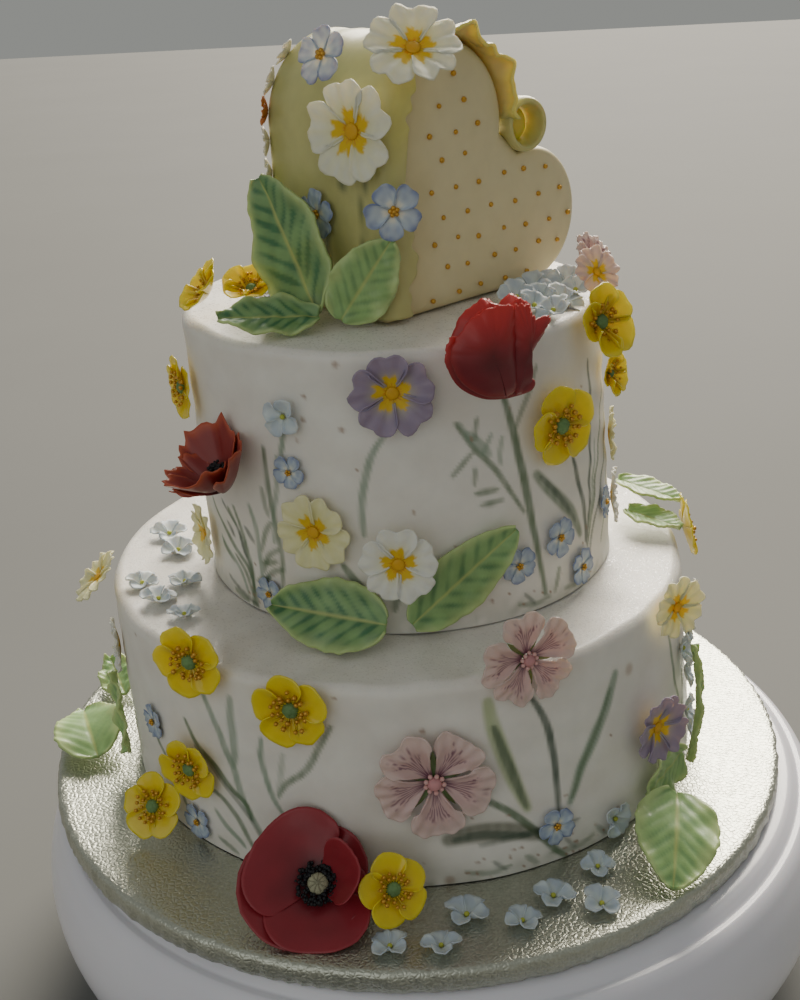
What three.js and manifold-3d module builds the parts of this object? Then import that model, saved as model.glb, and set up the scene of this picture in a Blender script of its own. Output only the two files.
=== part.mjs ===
// A two-tier wedding cake with a heart-shaped cake on top, covered in white icing and hung with
// sugar flowers and leaves. It stands on a silver drum, and the drum on a round white stand.
import * as THREE from "three";
import { mergeVertices } from "three/addons/utils/BufferGeometryUtils.js";
import Module from "manifold-3d";

const wasm = await Module();
wasm.setup();

// Driving dimensions, in millimetres. The origin is the middle of the stand's underside,
// -Y is the front and +Z is up. Angles are in degrees; an azimuth of 0 faces the front, 90 faces +X.
const GAP = 0.3;
const STAND_TOP = 100.7;
const DRUM = { x: -8, y: 2, z: STAND_TOP + GAP, radius: 177.8, thickness: 11, edge: 0.8 };
const DRUM_TOP = DRUM.z + DRUM.thickness;
const BOTTOM = {
  z: DRUM_TOP + GAP,
  height: 94,
  rounding: 5,
  foot: { x: -8.5, y: 12.5, radius: 138.5 },
  rim: { x: -13.3, y: 14.2, radius: 135.8 },
};
const BOTTOM_TOP = BOTTOM.z + BOTTOM.height;
const MIDDLE = {
  z: BOTTOM_TOP + GAP,
  height: 123,
  rounding: 5,
  foot: { x: -5.5, y: 17, radius: 96 },
  rim: { x: -9.8, y: 17.6, radius: 94.1 },
};
const MIDDLE_TOP = MIDDLE.z + MIDDLE.height;
const HEART = {
  corner: [-11.4, -41.8],
  faceAzimuth: 42.5,
  depth: 71,
  bevel: 5,
  cover: 3,
  upperLobe: { u: 37.5, v: 75, radius: 34.2 },
  sideLobe: { u: 90.5, v: 30, radius: 30 },
};

const COLOURS = {
  stand: 0xe9e8f0,
  silver: 0xc9c7c2,
  icing: 0xf1eee6,
  cream: 0xf0e3c2,
  drape: 0xe6d77a,
  buttercup: 0xf2c811,
  mallow: 0xdba6ac,
  crimson: 0x8e1420,
  scarlet: 0xb7251b,
  primroseWhite: 0xf6f3ea,
  primroseCream: 0xf1ebb4,
  primroseViolet: 0xb3a0be,
  forgetMeNot: 0x93a6cf,
  leaf: 0x7fae62,
};

const cake = new THREE.Group();
const radians = THREE.MathUtils.degToRad;
const mix = THREE.MathUtils.lerp;

function addPiece(name, geometry, colour, matrix, finish = {}) {
  const surface = { color: colour, roughness: 0.55, metalness: 0, ...finish };
  const mesh = new THREE.Mesh(geometry, new THREE.MeshStandardMaterial(surface));
  mesh.name = name;
  if (matrix) mesh.applyMatrix4(matrix);
  cake.add(mesh);
  return mesh;
}

function closedGeometry(points, faces) {
  const geometry = new THREE.BufferGeometry();
  geometry.setAttribute("position", new THREE.Float32BufferAttribute(points.flat(), 3));
  geometry.setIndex(faces.flat());
  return geometry;
}

// Closed solid round Z: a pole below, rings of points from the underside over the edge, a pole above.
function ringSolid(bottomZ, rings, topZ, sectors) {
  const points = [[0, 0, bottomZ]];
  for (const ring of rings) {
    for (let s = 0; s < sectors; s += 1) points.push(ring((2 * Math.PI * s) / sectors, s));
  }
  points.push([0, 0, topZ]);
  const at = (ring, s) => 1 + ring * sectors + (s % sectors);
  const faces = [];
  for (let s = 0; s < sectors; s += 1) {
    faces.push([0, at(0, s + 1), at(0, s)]);
    for (let k = 0; k < rings.length - 1; k += 1) {
      faces.push([at(k, s), at(k, s + 1), at(k + 1, s + 1)]);
      faces.push([at(k, s), at(k + 1, s + 1), at(k + 1, s)]);
    }
    faces.push([at(rings.length - 1, s), at(rings.length - 1, s + 1), points.length - 1]);
  }
  return closedGeometry(points, faces);
}

// Closed solid from two grids of points with the same rows and columns, joined round their border.
function sheetSolid(upper, lower) {
  const rows = upper.length;
  const columns = upper[0].length;
  const points = [...upper.flat(), ...lower.flat()];
  const top = (i, j) => i * columns + j;
  const under = (i, j) => rows * columns + top(i, j);
  const faces = [];
  for (let i = 0; i < rows - 1; i += 1) {
    for (let j = 0; j < columns - 1; j += 1) {
      faces.push([top(i, j), top(i, j + 1), top(i + 1, j + 1)], [top(i, j), top(i + 1, j + 1), top(i + 1, j)]);
      faces.push([under(i, j), under(i + 1, j + 1), under(i, j + 1)]);
      faces.push([under(i, j), under(i + 1, j), under(i + 1, j + 1)]);
    }
  }
  const wall = (a, b, c, d) => faces.push([a, d, c], [a, b, d]);
  for (let i = 0; i < rows - 1; i += 1) {
    wall(top(i, 0), top(i + 1, 0), under(i, 0), under(i + 1, 0));
    wall(top(i + 1, columns - 1), top(i, columns - 1), under(i + 1, columns - 1), under(i, columns - 1));
  }
  for (let j = 0; j < columns - 1; j += 1) {
    wall(top(0, j + 1), top(0, j), under(0, j + 1), under(0, j));
    wall(top(rows - 1, j), top(rows - 1, j + 1), under(rows - 1, j), under(rows - 1, j + 1));
  }
  return closedGeometry(points, faces);
}

function toSolid(geometry, matrix) {
  const bare = geometry.clone();
  bare.deleteAttribute("normal");
  bare.deleteAttribute("uv");
  if (matrix) bare.applyMatrix4(matrix);
  const merged = mergeVertices(bare, 1e-3);
  const vertProperties = new Float32Array(merged.attributes.position.array);
  const triVerts = new Uint32Array(merged.index.array);
  return new wasm.Manifold(new wasm.Mesh({ numProp: 3, vertProperties, triVerts }));
}

function toGeometry(solid) {
  const mesh = solid.getMesh();
  const geometry = new THREE.BufferGeometry();
  geometry.setAttribute("position", new THREE.BufferAttribute(new Float32Array(mesh.vertProperties), 3));
  geometry.setIndex(new THREE.BufferAttribute(new Uint32Array(mesh.triVerts), 1));
  return geometry;
}

function fuse(base, additions) {
  let solid = toSolid(base);
  for (const { geometry, matrix } of additions) solid = solid.add(toSolid(geometry, matrix));
  return toGeometry(solid);
}

// Where things sit: points and directions on the tiers and on the heart.

function tierSection(tier, height) {
  const share = height / tier.height;
  return {
    x: mix(tier.foot.x, tier.rim.x, share),
    y: mix(tier.foot.y, tier.rim.y, share),
    radius: mix(tier.foot.radius, tier.rim.radius, share),
  };
}

function wallPoint(tier, azimuth, height, out = 0) {
  const { x, y, radius } = tierSection(tier, height);
  const angle = radians(azimuth);
  const reach = radius + out;
  return new THREE.Vector3(x + reach * Math.sin(angle), y - reach * Math.cos(angle), tier.z + height);
}

function wallNormal(tier, azimuth, height) {
  const angle = radians(azimuth);
  const around = new THREE.Vector3(Math.cos(angle), Math.sin(angle), 0);
  const up = wallPoint(tier, azimuth, height + 1).sub(wallPoint(tier, azimuth, height)).normalize();
  return around.cross(up).normalize();
}

function direction(azimuth, elevation) {
  const flat = Math.cos(radians(elevation));
  const angle = radians(azimuth);
  return new THREE.Vector3(flat * Math.sin(angle), -flat * Math.cos(angle), Math.sin(radians(elevation)));
}

// Local X, Y and Z of a piece: Z along the normal, Y as near to the given way up as it can be.
function seat(origin, normal, upward, spin = 0) {
  const z = normal.clone().normalize();
  const x = upward.clone().cross(z).normalize();
  const y = z.clone().cross(x);
  const matrix = new THREE.Matrix4().makeBasis(x, y, z).setPosition(origin);
  return matrix.multiply(new THREE.Matrix4().makeRotationZ(radians(spin)));
}

const UP = new THREE.Vector3(0, 0, 1);
const BACKWARD = new THREE.Vector3(0, 1, 0);

// A flower against a tier's wall. It may turn sideways or tip upwards, and then stands further off.
function onWall(tier, { azimuth, height, radius, turn = 0, tip = 0, spin = 0, out = 0 }) {
  const lift = GAP + out + radius * (Math.abs(Math.sin(radians(turn))) + Math.abs(Math.sin(radians(tip))));
  const normal = turn || tip ? direction(azimuth + turn, tip) : wallNormal(tier, azimuth, height);
  return seat(wallPoint(tier, azimuth, height, lift), normal, UP, spin);
}

// A flower that lies free on a level surface, or leans there by the elevation of its face.
function onLevel([x, y, z], { azimuth = 0, elevation = 90, spin = 0 }) {
  return seat(new THREE.Vector3(x, y, z), direction(azimuth, elevation), elevation > 80 ? BACKWARD : UP, spin);
}

const faceAngle = radians(HEART.faceAzimuth);
const HEART_FACE = new THREE.Vector3(Math.sin(faceAngle), -Math.cos(faceAngle), 0);
const HEART_ALONG = new THREE.Vector3(Math.cos(faceAngle), Math.sin(faceAngle), 0);
const HEART_BASE = MIDDLE_TOP + GAP;

// u runs along the heart's face to the right, v upwards, w out of the face towards the front.
function heartPoint(u, v, w) {
  const point = new THREE.Vector3(HEART.corner[0], HEART.corner[1], HEART_BASE);
  return point.addScaledVector(HEART_ALONG, u).addScaledVector(HEART_FACE, w).addScaledVector(UP, v);
}

const heartMatrix = new THREE.Matrix4().makeBasis(HEART_ALONG, UP, HEART_FACE).setPosition(heartPoint(0, 0, 0));

// Flower shapes.

// The petals' outline: 1 at a petal's shoulders, `valley` between petals, `notch` less at its tip.
function petalOutline({ perPetal, valley, notch, fullness = 3 }) {
  return (s) => {
    const across = Math.abs(2 * ((s / perPetal) % 1) - 1);
    const edge = 1 - (1 - valley) * Math.pow(across, fullness);
    return edge - notch * Math.max(0, 1 - 2.5 * across);
  };
}

// A flower is a dish with a lobed edge; its profile gives the share of the radius and the height
// of each ring, and whether the ring follows the petals' outline.
function flowerSolid({ radius, petals, perPetal = 4, valley, notch = 0, profile, top, ripple = 0 }) {
  const outline = petalOutline({ perPetal, valley, notch });
  const sectors = petals * perPetal;
  const rings = profile.map(([share, z, follow]) => (angle, s) => {
    const reach = radius * share * mix(1, outline(s), follow);
    const lift = follow * ripple * Math.sin(3 * angle + 1);
    return [-reach * Math.sin(angle), reach * Math.cos(angle), z + lift];
  });
  return ringSolid(0, rings, top, sectors);
}

function buttercup(radius, cup = 0.2) {
  const rise = radius * cup;
  const profile = [
    [1, 1 + rise, 1],
    [0.98, 2.6 + rise, 1],
    [0.62, 2.4 + rise * 0.5, 0.6],
    [0.27, 2.6, 0],
  ];
  return flowerSolid({ radius, petals: 5, valley: 0.76, profile, top: 4.6 });
}

function primrose(radius, cup = 0.18) {
  const rise = radius * cup;
  const profile = [
    [1, 1 + rise, 1],
    [0.98, 2.8 + rise, 1],
    [0.4, 2.6 + rise * 0.4, 0.5],
  ];
  return flowerSolid({ radius, petals: 5, valley: 0.6, notch: 0.14, profile, top: 2.2 });
}

function mallow(radius, cup = 0.2) {
  const rise = radius * cup;
  const profile = [
    [1, 1 + rise, 1],
    [0.98, 2.8 + rise, 1],
    [0.24, 2.8, 0],
  ];
  return flowerSolid({ radius, petals: 5, perPetal: 6, valley: 0.38, notch: 0.08, profile, top: 5 });
}

function forgetMeNot(radius) {
  const profile = [
    [1, 1.2, 1],
    [0.97, 2.8, 1],
    [0.3, 2.4, 0],
  ];
  return flowerSolid({ radius, petals: 5, valley: 0.62, notch: 0.06, profile, top: 3.4 });
}

// An open poppy: a bowl of wide petals, with the seed head on the floor of the bowl.
function openPoppy(radius, depth) {
  const profile = [
    [0.62, depth * 0.3, 0.4],
    [1, depth, 1],
    [0.97, depth + 2.2, 1],
    [0.6, depth * 0.3 + 2.6, 0.4],
    [0.3, 4, 0],
    [0.2, 7, 0],
  ];
  return flowerSolid({ radius, petals: 5, valley: 0.9, profile, top: 8.5, ripple: 1.8 });
}

// A poppy that has not opened: an upright egg of wrapped petals with a ragged mouth.
function closedPoppy({ radius, height, flatness, mouth, sectors = 18 }) {
  const wall = [[0.55, 0.05], [0.96, 0.3], [1, 0.62], [mouth, 1]];
  const inside = [[mouth - 0.14, 0.97], [0.5, 0.6]];
  const ragged = (s) => 1 + 0.05 * Math.sin(2.3 * s) + 0.05 * Math.cos(4.1 * s);
  const rings = [...wall, ...inside].map(([share, level]) => (angle, s) => {
    const reach = radius * share * (1 + 0.04 * Math.sin(2 * angle));
    const rise = level > 0.9 ? height * level * ragged(s) : height * level;
    return [reach * Math.cos(angle), reach * flatness * Math.sin(angle), rise];
  });
  return ringSolid(0, rings, height * 0.4, sectors);
}

// A flat lobed disc that stands for the smallest flowers and is fused to what it lies on.
function tinyFlower(radius, petals) {
  const lobes = (share, z) => (angle, s) => {
    const reach = radius * share * (s % 2 ? 0.56 : 1);
    return [-reach * Math.sin(angle), reach * Math.cos(angle), z];
  };
  return ringSolid(-2, [lobes(0.8, -2), lobes(1, 1.6)], 1, petals * 2);
}

// A leaf along +Y from its stalk to its tip. Both faces are split alike, and its edges wave.
function leafSolid({ length, width, arch = 0, fold = 2, wave = 1.5, thickness = 1.4, stations = 8, tail = 0.75 }) {
  const face = (drop) => {
    const rows = [];
    for (let i = 0; i <= stations; i += 1) {
      const share = 0.02 + (0.96 * i) / stations;
      const half = 0.5 * width * Math.pow(Math.sin(Math.PI * Math.pow(share, tail)), 0.75);
      const spine = arch * Math.sin(Math.PI * share);
      const row = [-1, 0, 1].map((side) => {
        const ruffle = wave * Math.sin(2.6 * i + side * 1.3) * Math.abs(side);
        return [side * half, share * length, spine + Math.abs(side) * fold + ruffle - drop];
      });
      rows.push(row);
    }
    return rows;
  };
  return sheetSolid(face(0), face(thickness));
}

// The stand: one moulded white plastic body with a ridge and a groove round its top.

function makeStand() {
  const outline = [
    [152, 0], [160, 2.5], [173, 12], [185, 31], [192, 48], [194, 64], [191.5, 79],
    [187.5, 89], [182.5, 95.5], [179, 96.5], [176.5, 99.6], [171, STAND_TOP],
  ];
  const rings = outline.map(([r, z]) => (angle) => [r * Math.cos(angle), r * Math.sin(angle), z]);
  const plastic = { roughness: 0.28 };
  addPiece("stand", ringSolid(0, rings, STAND_TOP, 44), COLOURS.stand, null, plastic);
}

// The tiny pale blossoms that lie on the drum in front of the cake, and their places on it.

function makeDrum() {
  const { radius, thickness, edge } = DRUM;
  const outline = [[radius - edge, 0], [radius, edge], [radius, thickness - edge], [radius - edge, thickness]];
  const rings = outline.map(([r, z]) => (angle) => [r * Math.cos(angle), r * Math.sin(angle), z]);
  const disc = ringSolid(0, rings, thickness, 60);
  const blossoms = [
    [66, -119, 6.2], [64, -142, 7], [45, -136, 7.2], [31, -150, 6.6], [9, -145, 7.6], [-2, -162, 6.6], [-22, -161, 6.8],
  ];
  const additions = blossoms.map(([x, y, r]) => {
    const place = new THREE.Matrix4().makeTranslation(x - DRUM.x, y - DRUM.y, thickness);
    return { geometry: tinyFlower(r, 4), matrix: place };
  });
  const place = new THREE.Matrix4().makeTranslation(DRUM.x, DRUM.y, DRUM.z);
  const foil = { roughness: 0.3, metalness: 0.9 };
  addPiece("drum", fuse(disc, additions), COLOURS.silver, place, foil);
}

// The two round tiers. Each leans a little, as the real one does, and its top edge is rounded.

function tierGeometry(tier, sectors) {
  const { height, rounding } = tier;
  const level = (h, inset) => (angle) => {
    const { x, y, radius } = tierSection(tier, h);
    return [x + (radius - inset) * Math.cos(angle), y + (radius - inset) * Math.sin(angle), tier.z + h];
  };
  const corner = rounding * (1 - Math.SQRT1_2);
  const rings = [level(0, 0), level(height - rounding, 0), level(height - corner, corner), level(height, rounding)];
  const body = ringSolid(tier.z, rings, tier.z + height, sectors);
  const corners = body.attributes.position;
  corners.setXY(0, tier.foot.x, tier.foot.y);
  corners.setXY(corners.count - 1, tier.rim.x, tier.rim.y);
  return body;
}

// Small flowers that are fused to a tier, on its wall or on its top.
function tinyOnWall(tier, flowers) {
  return flowers.map(([azimuth, height, radius, petals]) => {
    const origin = wallPoint(tier, azimuth, height);
    const matrix = seat(origin, wallNormal(tier, azimuth, height), UP, azimuth);
    return { geometry: tinyFlower(radius, petals), matrix };
  });
}

function tinyOnTop(tier, flowers) {
  return flowers.map(([x, y, radius, petals]) => {
    const place = new THREE.Matrix4().makeTranslation(x, y, tier.z + tier.height);
    return { geometry: tinyFlower(radius, petals), matrix: place };
  });
}

function makeTiers() {
  const bottomWall = [
    [-55, 49, 8, 5], [-44, 10, 8, 5], [25, 18, 8.4, 5], [38, 8, 6.8, 4], [69, 56, 7, 4], [72, 40, 6.5, 4],
    [70, 22, 6.5, 4], [73, 9, 6.5, 4], [150, 46, 8, 5], [-140, 14, 8, 5], [128, 16, 7, 4],
  ];
  const bottomTop = [
    [-126, 34, 7.6, 4], [-119, 14, 7.4, 4], [-131, -20, 6.8, 4], [-121, -37, 7, 4], [-111, -21, 7, 4],
    [-107, -53, 6, 4], [30, 125, 7, 4], [46, 118, 7, 4],
  ];
  const middleWall = [
    [-29, 95, 7.2, 4], [-29, 71, 7, 5], [-40, 11, 7.4, 5], [42, 30, 8.4, 5], [28, 24, 8, 5], [51, 10, 8, 5],
    [68, 30, 7, 5], [165, 60, 7.5, 5], [-150, 40, 7.5, 5],
  ];
  const middleTop = [
    [-66, 18, 5.2, 5], [52, -2, 7.4, 4], [44, -16, 6.8, 4], [63, -20, 7.2, 4], [58, -36, 7, 4], [68, 4, 6.6, 4],
  ];
  const bottom = [...tinyOnWall(BOTTOM, bottomWall), ...tinyOnTop(BOTTOM, bottomTop)];
  const middle = [...tinyOnWall(MIDDLE, middleWall), ...tinyOnTop(MIDDLE, middleTop)];
  addPiece("tier_bottom", fuse(tierGeometry(BOTTOM, 60), bottom), COLOURS.icing);
  addPiece("tier_middle", fuse(tierGeometry(MIDDLE, 48), middle), COLOURS.icing);
}

// The heart stands on its straight side, with its point at the lower left of the face.

function heartOutline() {
  const { upperLobe, sideLobe, cover } = HEART;
  const left = upperLobe.u - upperLobe.radius;
  const outline = new THREE.Shape();
  outline.moveTo(left, 0);
  outline.lineTo(sideLobe.u, sideLobe.v - sideLobe.radius);
  outline.absarc(sideLobe.u, sideLobe.v, sideLobe.radius, radians(-90), radians(104), false);
  outline.absarc(upperLobe.u, upperLobe.v, upperLobe.radius, radians(-10), radians(180), false);
  outline.lineTo(left, cover);
  return outline;
}

// Gold beads in a staggered lattice over the face; a seeded draw keeps their spacing uneven.
function goldBeads() {
  const spacing = { u: 14.5, v: 11.2 };
  let seed = 7;
  const draw = () => {
    seed = (seed * 16807) % 2147483647;
    return seed / 2147483647 - 0.5;
  };
  const { upperLobe, sideLobe } = HEART;
  const inside = (u, v) =>
    Math.hypot(u - upperLobe.u, v - upperLobe.v) < upperLobe.radius - 9 ||
    Math.hypot(u - sideLobe.u, v - sideLobe.v) < sideLobe.radius - 4 ||
    (u < sideLobe.u && v < 58 && v > 4);
  const beads = [];
  for (let row = 0; row < 10; row += 1) {
    for (let column = 0; column < 9; column += 1) {
      const u = 12 + (column + (row % 2) / 2) * spacing.u + 3 * draw();
      const v = 6 + row * spacing.v + 3 * draw();
      if (u > 21 && inside(u, v)) beads.push([u, v]);
    }
  }
  return beads;
}

function makeHeart() {
  const { depth, bevel } = HEART;
  const body = new THREE.ExtrudeGeometry(heartOutline(), {
    depth: depth - 2 * bevel,
    curveSegments: 9,
    bevelThickness: bevel,
    bevelSize: bevel,
    bevelOffset: -bevel,
    bevelSegments: 2,
  });
  body.translate(0, 0, bevel - depth);
  const beads = goldBeads().map(([u, v]) => ({
    geometry: new THREE.OctahedronGeometry(1.5),
    matrix: new THREE.Matrix4().makeTranslation(u, v, 0.2),
  }));
  addPiece("heart", fuse(body, beads), COLOURS.cream, heartMatrix);
}

// The yellow drape: one sheet over the heart's left side and upper lobe, folded a little over the
// face on the left, flaring into a ruffled lip along the lobe, and ending in a rolled loop.

function drapeStations() {
  const { upperLobe } = HEART;
  const left = upperLobe.u - upperLobe.radius;
  const stations = [2, 20, 38, 57].map((v) => ({ u: left, v, out: [-1, 0], lip: 0, fold: 12 - 6 * Math.cos(v / 9) }));
  for (let k = 0; k <= 12; k += 1) {
    const angle = radians(180 - (182 * k) / 12);
    const out = [Math.cos(angle), Math.sin(angle)];
    const u = upperLobe.u + upperLobe.radius * out[0];
    const v = upperLobe.v + upperLobe.radius * out[1];
    const lip = THREE.MathUtils.smoothstep(k, 2, 5);
    stations.push({ u, v, out, lip, fold: 14, ruffle: 1.6 * Math.sin(k * 2.1) });
  }
  return stations;
}

function drapeSheet() {
  const { depth, bevel, cover } = HEART;
  const lining = 0.8;
  const side = (reach) =>
    drapeStations().map(({ u, v, out, lip, fold, ruffle = 0 }) => {
      const arm = bevel + reach;
      const diagonal = arm * Math.SQRT1_2;
      const wrapped = [
        [-depth - reach, -bevel - 3],
        [-depth + bevel - diagonal, -bevel + diagonal],
        [-depth + bevel, reach],
        [-bevel, reach],
        [-bevel + diagonal, -bevel + diagonal],
        [reach, -bevel],
        [reach, -Math.max(fold, bevel + 1)],
      ];
      const flared = [
        wrapped[0],
        wrapped[1],
        wrapped[2],
        [-bevel, reach],
        [-bevel + 4, reach + 0.6],
        [1, reach + 0.4 + ruffle * 0.5],
        [5.5, reach + 1.5 + ruffle],
      ];
      return wrapped.map(([w, n], j) => {
        const across = mix(w, flared[j][0], lip);
        const away = mix(n, flared[j][1], lip);
        return [u + out[0] * away, v + out[1] * away, across];
      });
    });
  return sheetSolid(side(cover), side(lining));
}

// The loop is a flattened roll: a ring whose band is wider than it is thick.
function drapeLoop() {
  const { upperLobe } = HEART;
  const centre = { u: upperLobe.u + upperLobe.radius + 11, v: upperLobe.v - 1.5, w: -3 };
  const band = [[8.6, -7], [8.6, 7], [5.4, 7], [5.4, -7]];
  const profile = [...band, band[0]].map(([r, h]) => new THREE.Vector2(r, h));
  const ring = new THREE.LatheGeometry(profile, 14);
  ring.rotateX(Math.PI / 2);
  ring.rotateY(radians(-15));
  return { geometry: ring, matrix: new THREE.Matrix4().makeTranslation(centre.u, centre.v, centre.w) };
}

function makeDrape() {
  addPiece("heart_drape", fuse(drapeSheet(), [drapeLoop()]), COLOURS.drape, heartMatrix);
}

// The flowers, each with its place, its radius and how it is turned.

function makeButtercups() {
  const flowers = [
    onWallFlower(BOTTOM, { azimuth: -37.1, height: 97.5, radius: 16, turn: 14, spin: 20 }),
    onWallFlower(BOTTOM, { azimuth: -18.8, height: 83.5, radius: 16.6, spin: 8 }),
    onWallFlower(BOTTOM, { azimuth: -42.1, height: 41, radius: 14.8, turn: 10, spin: 30 }),
    levelFlower([-125.5, -80, 126.4], { radius: 14.6, azimuth: -52, elevation: 22, spin: 12 }),
    levelFlower([-20.6, -143, 126.4], { radius: 14.8, azimuth: 24, elevation: 30, spin: 5 }),
    onWallFlower(MIDDLE, { azimuth: 42.5, height: 81.4, radius: 17.2, turn: -7, spin: 16 }),
    onWallFlower(MIDDLE, { azimuth: 61.9, height: 117, radius: 15.6, turn: -14, spin: 0 }),
    onWallFlower(MIDDLE, { azimuth: 74, height: 88, radius: 10, turn: -10, spin: 20 }),
    onWallFlower(MIDDLE, { azimuth: -73, height: 92, radius: 14.2, turn: 10, spin: 10 }),
    levelFlower([-91, -15, 342.4], { radius: 12.6, azimuth: -35, elevation: 28, spin: 0 }),
    levelFlower([-74, -3, 339.6], { radius: 12, azimuth: -15, elevation: 45, spin: 24 }),
    onWallFlower(BOTTOM, { azimuth: 90, height: 94.5, radius: 15.2, tip: 12, spin: 30 }),
  ];
  flowers.forEach(({ radius, matrix }, i) => {
    addPiece(`buttercup_${i + 1}`, buttercup(radius), COLOURS.buttercup, matrix, { roughness: 0.35 });
  });
}

function onWallFlower(tier, place) {
  return { radius: place.radius, matrix: onWall(tier, place) };
}

function levelFlower(point, place) {
  return { radius: place.radius, matrix: onLevel(point, place) };
}

function heartFlower([u, v, w], place) {
  const normal = direction(place.azimuth, place.elevation);
  return { radius: place.radius, matrix: seat(heartPoint(u, v, w), normal, UP, place.spin) };
}

function makePrimroses() {
  const { primroseWhite, primroseCream, primroseViolet } = COLOURS;
  const flowers = [
    [primroseViolet, onWallFlower(BOTTOM, { azimuth: 49.7, height: 42, radius: 16.4, turn: -12, spin: 20 })],
    [primroseViolet, onWallFlower(MIDDLE, { azimuth: -0.8, height: 106.8, radius: 17.4, spin: 6 })],
    [primroseCream, onWallFlower(MIDDLE, { azimuth: -23.7, height: 45.8, radius: 17.2, spin: 34 })],
    [primroseWhite, onWallFlower(MIDDLE, { azimuth: -2.6, height: 37, radius: 17.4, out: 8, spin: 0 })],
    [primroseCream, onWallFlower(BOTTOM, { azimuth: 57.9, height: 91.8, radius: 14.6, turn: -24, spin: 10 })],
    [primroseWhite, onWallFlower(BOTTOM, { azimuth: 75, height: 70, radius: 14.2, turn: -6, spin: 0 })],
    [primroseCream, onWallFlower(MIDDLE, { azimuth: 80, height: 56, radius: 13, spin: 14 })],
    [primroseWhite, onWallFlower(MIDDLE, { azimuth: 80, height: 25, radius: 13, spin: 0 })],
    [primroseCream, onWallFlower(MIDDLE, { azimuth: -72, height: 22, radius: 14.6, turn: 8, spin: 8 })],
    [primroseCream, onWallFlower(MIDDLE, { azimuth: -97, height: 42, radius: 11, spin: 30 })],
    [primroseCream, onWallFlower(BOTTOM, { azimuth: -77, height: 96, radius: 14, tip: 32, spin: 0 })],
    [primroseWhite, onWallFlower(BOTTOM, { azimuth: -74.7, height: 65, radius: 13.6, spin: 20 })],
    [primroseWhite, heartFlower([12, 107, 9], { radius: 19.5, azimuth: 6, elevation: 46, spin: -6 })],
    [primroseWhite, heartFlower([-1.5, 77.4, -12], { radius: 21.3, azimuth: -38, elevation: 3, spin: 12 })],
    [primroseWhite, levelFlower([78, -14, 341], { radius: 11.5, azimuth: 30, elevation: 30, spin: 0 })],
    [primroseCream, onWallFlower(MIDDLE, { azimuth: 178, height: 84, radius: 16, spin: 18 })],
  ];
  flowers.forEach(([colour, { radius, matrix }], i) => {
    addPiece(`primrose_${i + 1}`, primrose(radius), colour, matrix);
  });
}

function makeMallows() {
  const flowers = [
    onWallFlower(BOTTOM, { azimuth: 21.9, height: 99.5, radius: 21.2, spin: 8 }),
    onWallFlower(BOTTOM, { azimuth: 4, height: 51.6, radius: 25, spin: 36 }),
    levelFlower([80, 10, 341], { radius: 13, azimuth: 55, elevation: 35, spin: 0 }),
    onWallFlower(BOTTOM, { azimuth: 160, height: 78, radius: 20, spin: 20 }),
  ];
  flowers.forEach(({ radius, matrix }, i) => {
    addPiece(`mallow_${i + 1}`, mallow(radius), COLOURS.mallow, matrix);
  });
}

function makeHeartForgetMeNots() {
  const flowers = [
    heartFlower([-0.6, 105, -28.5], { radius: 12.2, azimuth: -42, elevation: 22, spin: 10 }),
    heartFlower([-0.6, 42, -38], { radius: 11, azimuth: -47.5, elevation: 0, spin: 0 }),
    heartFlower([-1, 48.4, 8], { radius: 12, azimuth: 6, elevation: 0, spin: 26 }),
  ];
  flowers.forEach(({ radius, matrix }, i) => {
    addPiece(`forget_me_not_${i + 1}`, forgetMeNot(radius), COLOURS.forgetMeNot, matrix);
  });
}

function makePoppies() {
  const { crimson, scarlet } = COLOURS;
  const leaning = wallPoint(BOTTOM, -18.6, 9.5, 15);
  addPiece("poppy_1", openPoppy(27, 13), crimson, seat(leaning, direction(-4, 50), UP, 10));
  const half = wallPoint(MIDDLE, -47, 58, 9.5);
  const bowl = closedPoppy({ radius: 17, height: 34, flatness: 0.74, mouth: 0.98 });
  addPiece("poppy_2", bowl, scarlet, seat(half, direction(-64, 62), UP, 0));
  const bud = closedPoppy({ radius: 21, height: 42, flatness: 0.52, mouth: 0.86 });
  const foot = wallPoint(MIDDLE, 21.6, 101.5, 12.8);
  const upright = seat(foot, UP, direction(21.6, 0).negate(), 0);
  addPiece("poppy_3", bud, crimson, upright);
  const back = wallPoint(BOTTOM, 176, 27, GAP + 1.2);
  addPiece("poppy_4", openPoppy(24, 11), scarlet, seat(back, wallNormal(BOTTOM, 176, 27), UP, 40));
}

// A leaf is laid from its stalk towards its tip, and its upper face looks along `facing`.
function leafPlace(stalk, tip, facing) {
  const y = tip.clone().sub(stalk).normalize();
  const x = y.clone().cross(facing).normalize();
  const z = x.clone().cross(y);
  return new THREE.Matrix4().makeBasis(x, y, z).setPosition(stalk);
}

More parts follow.
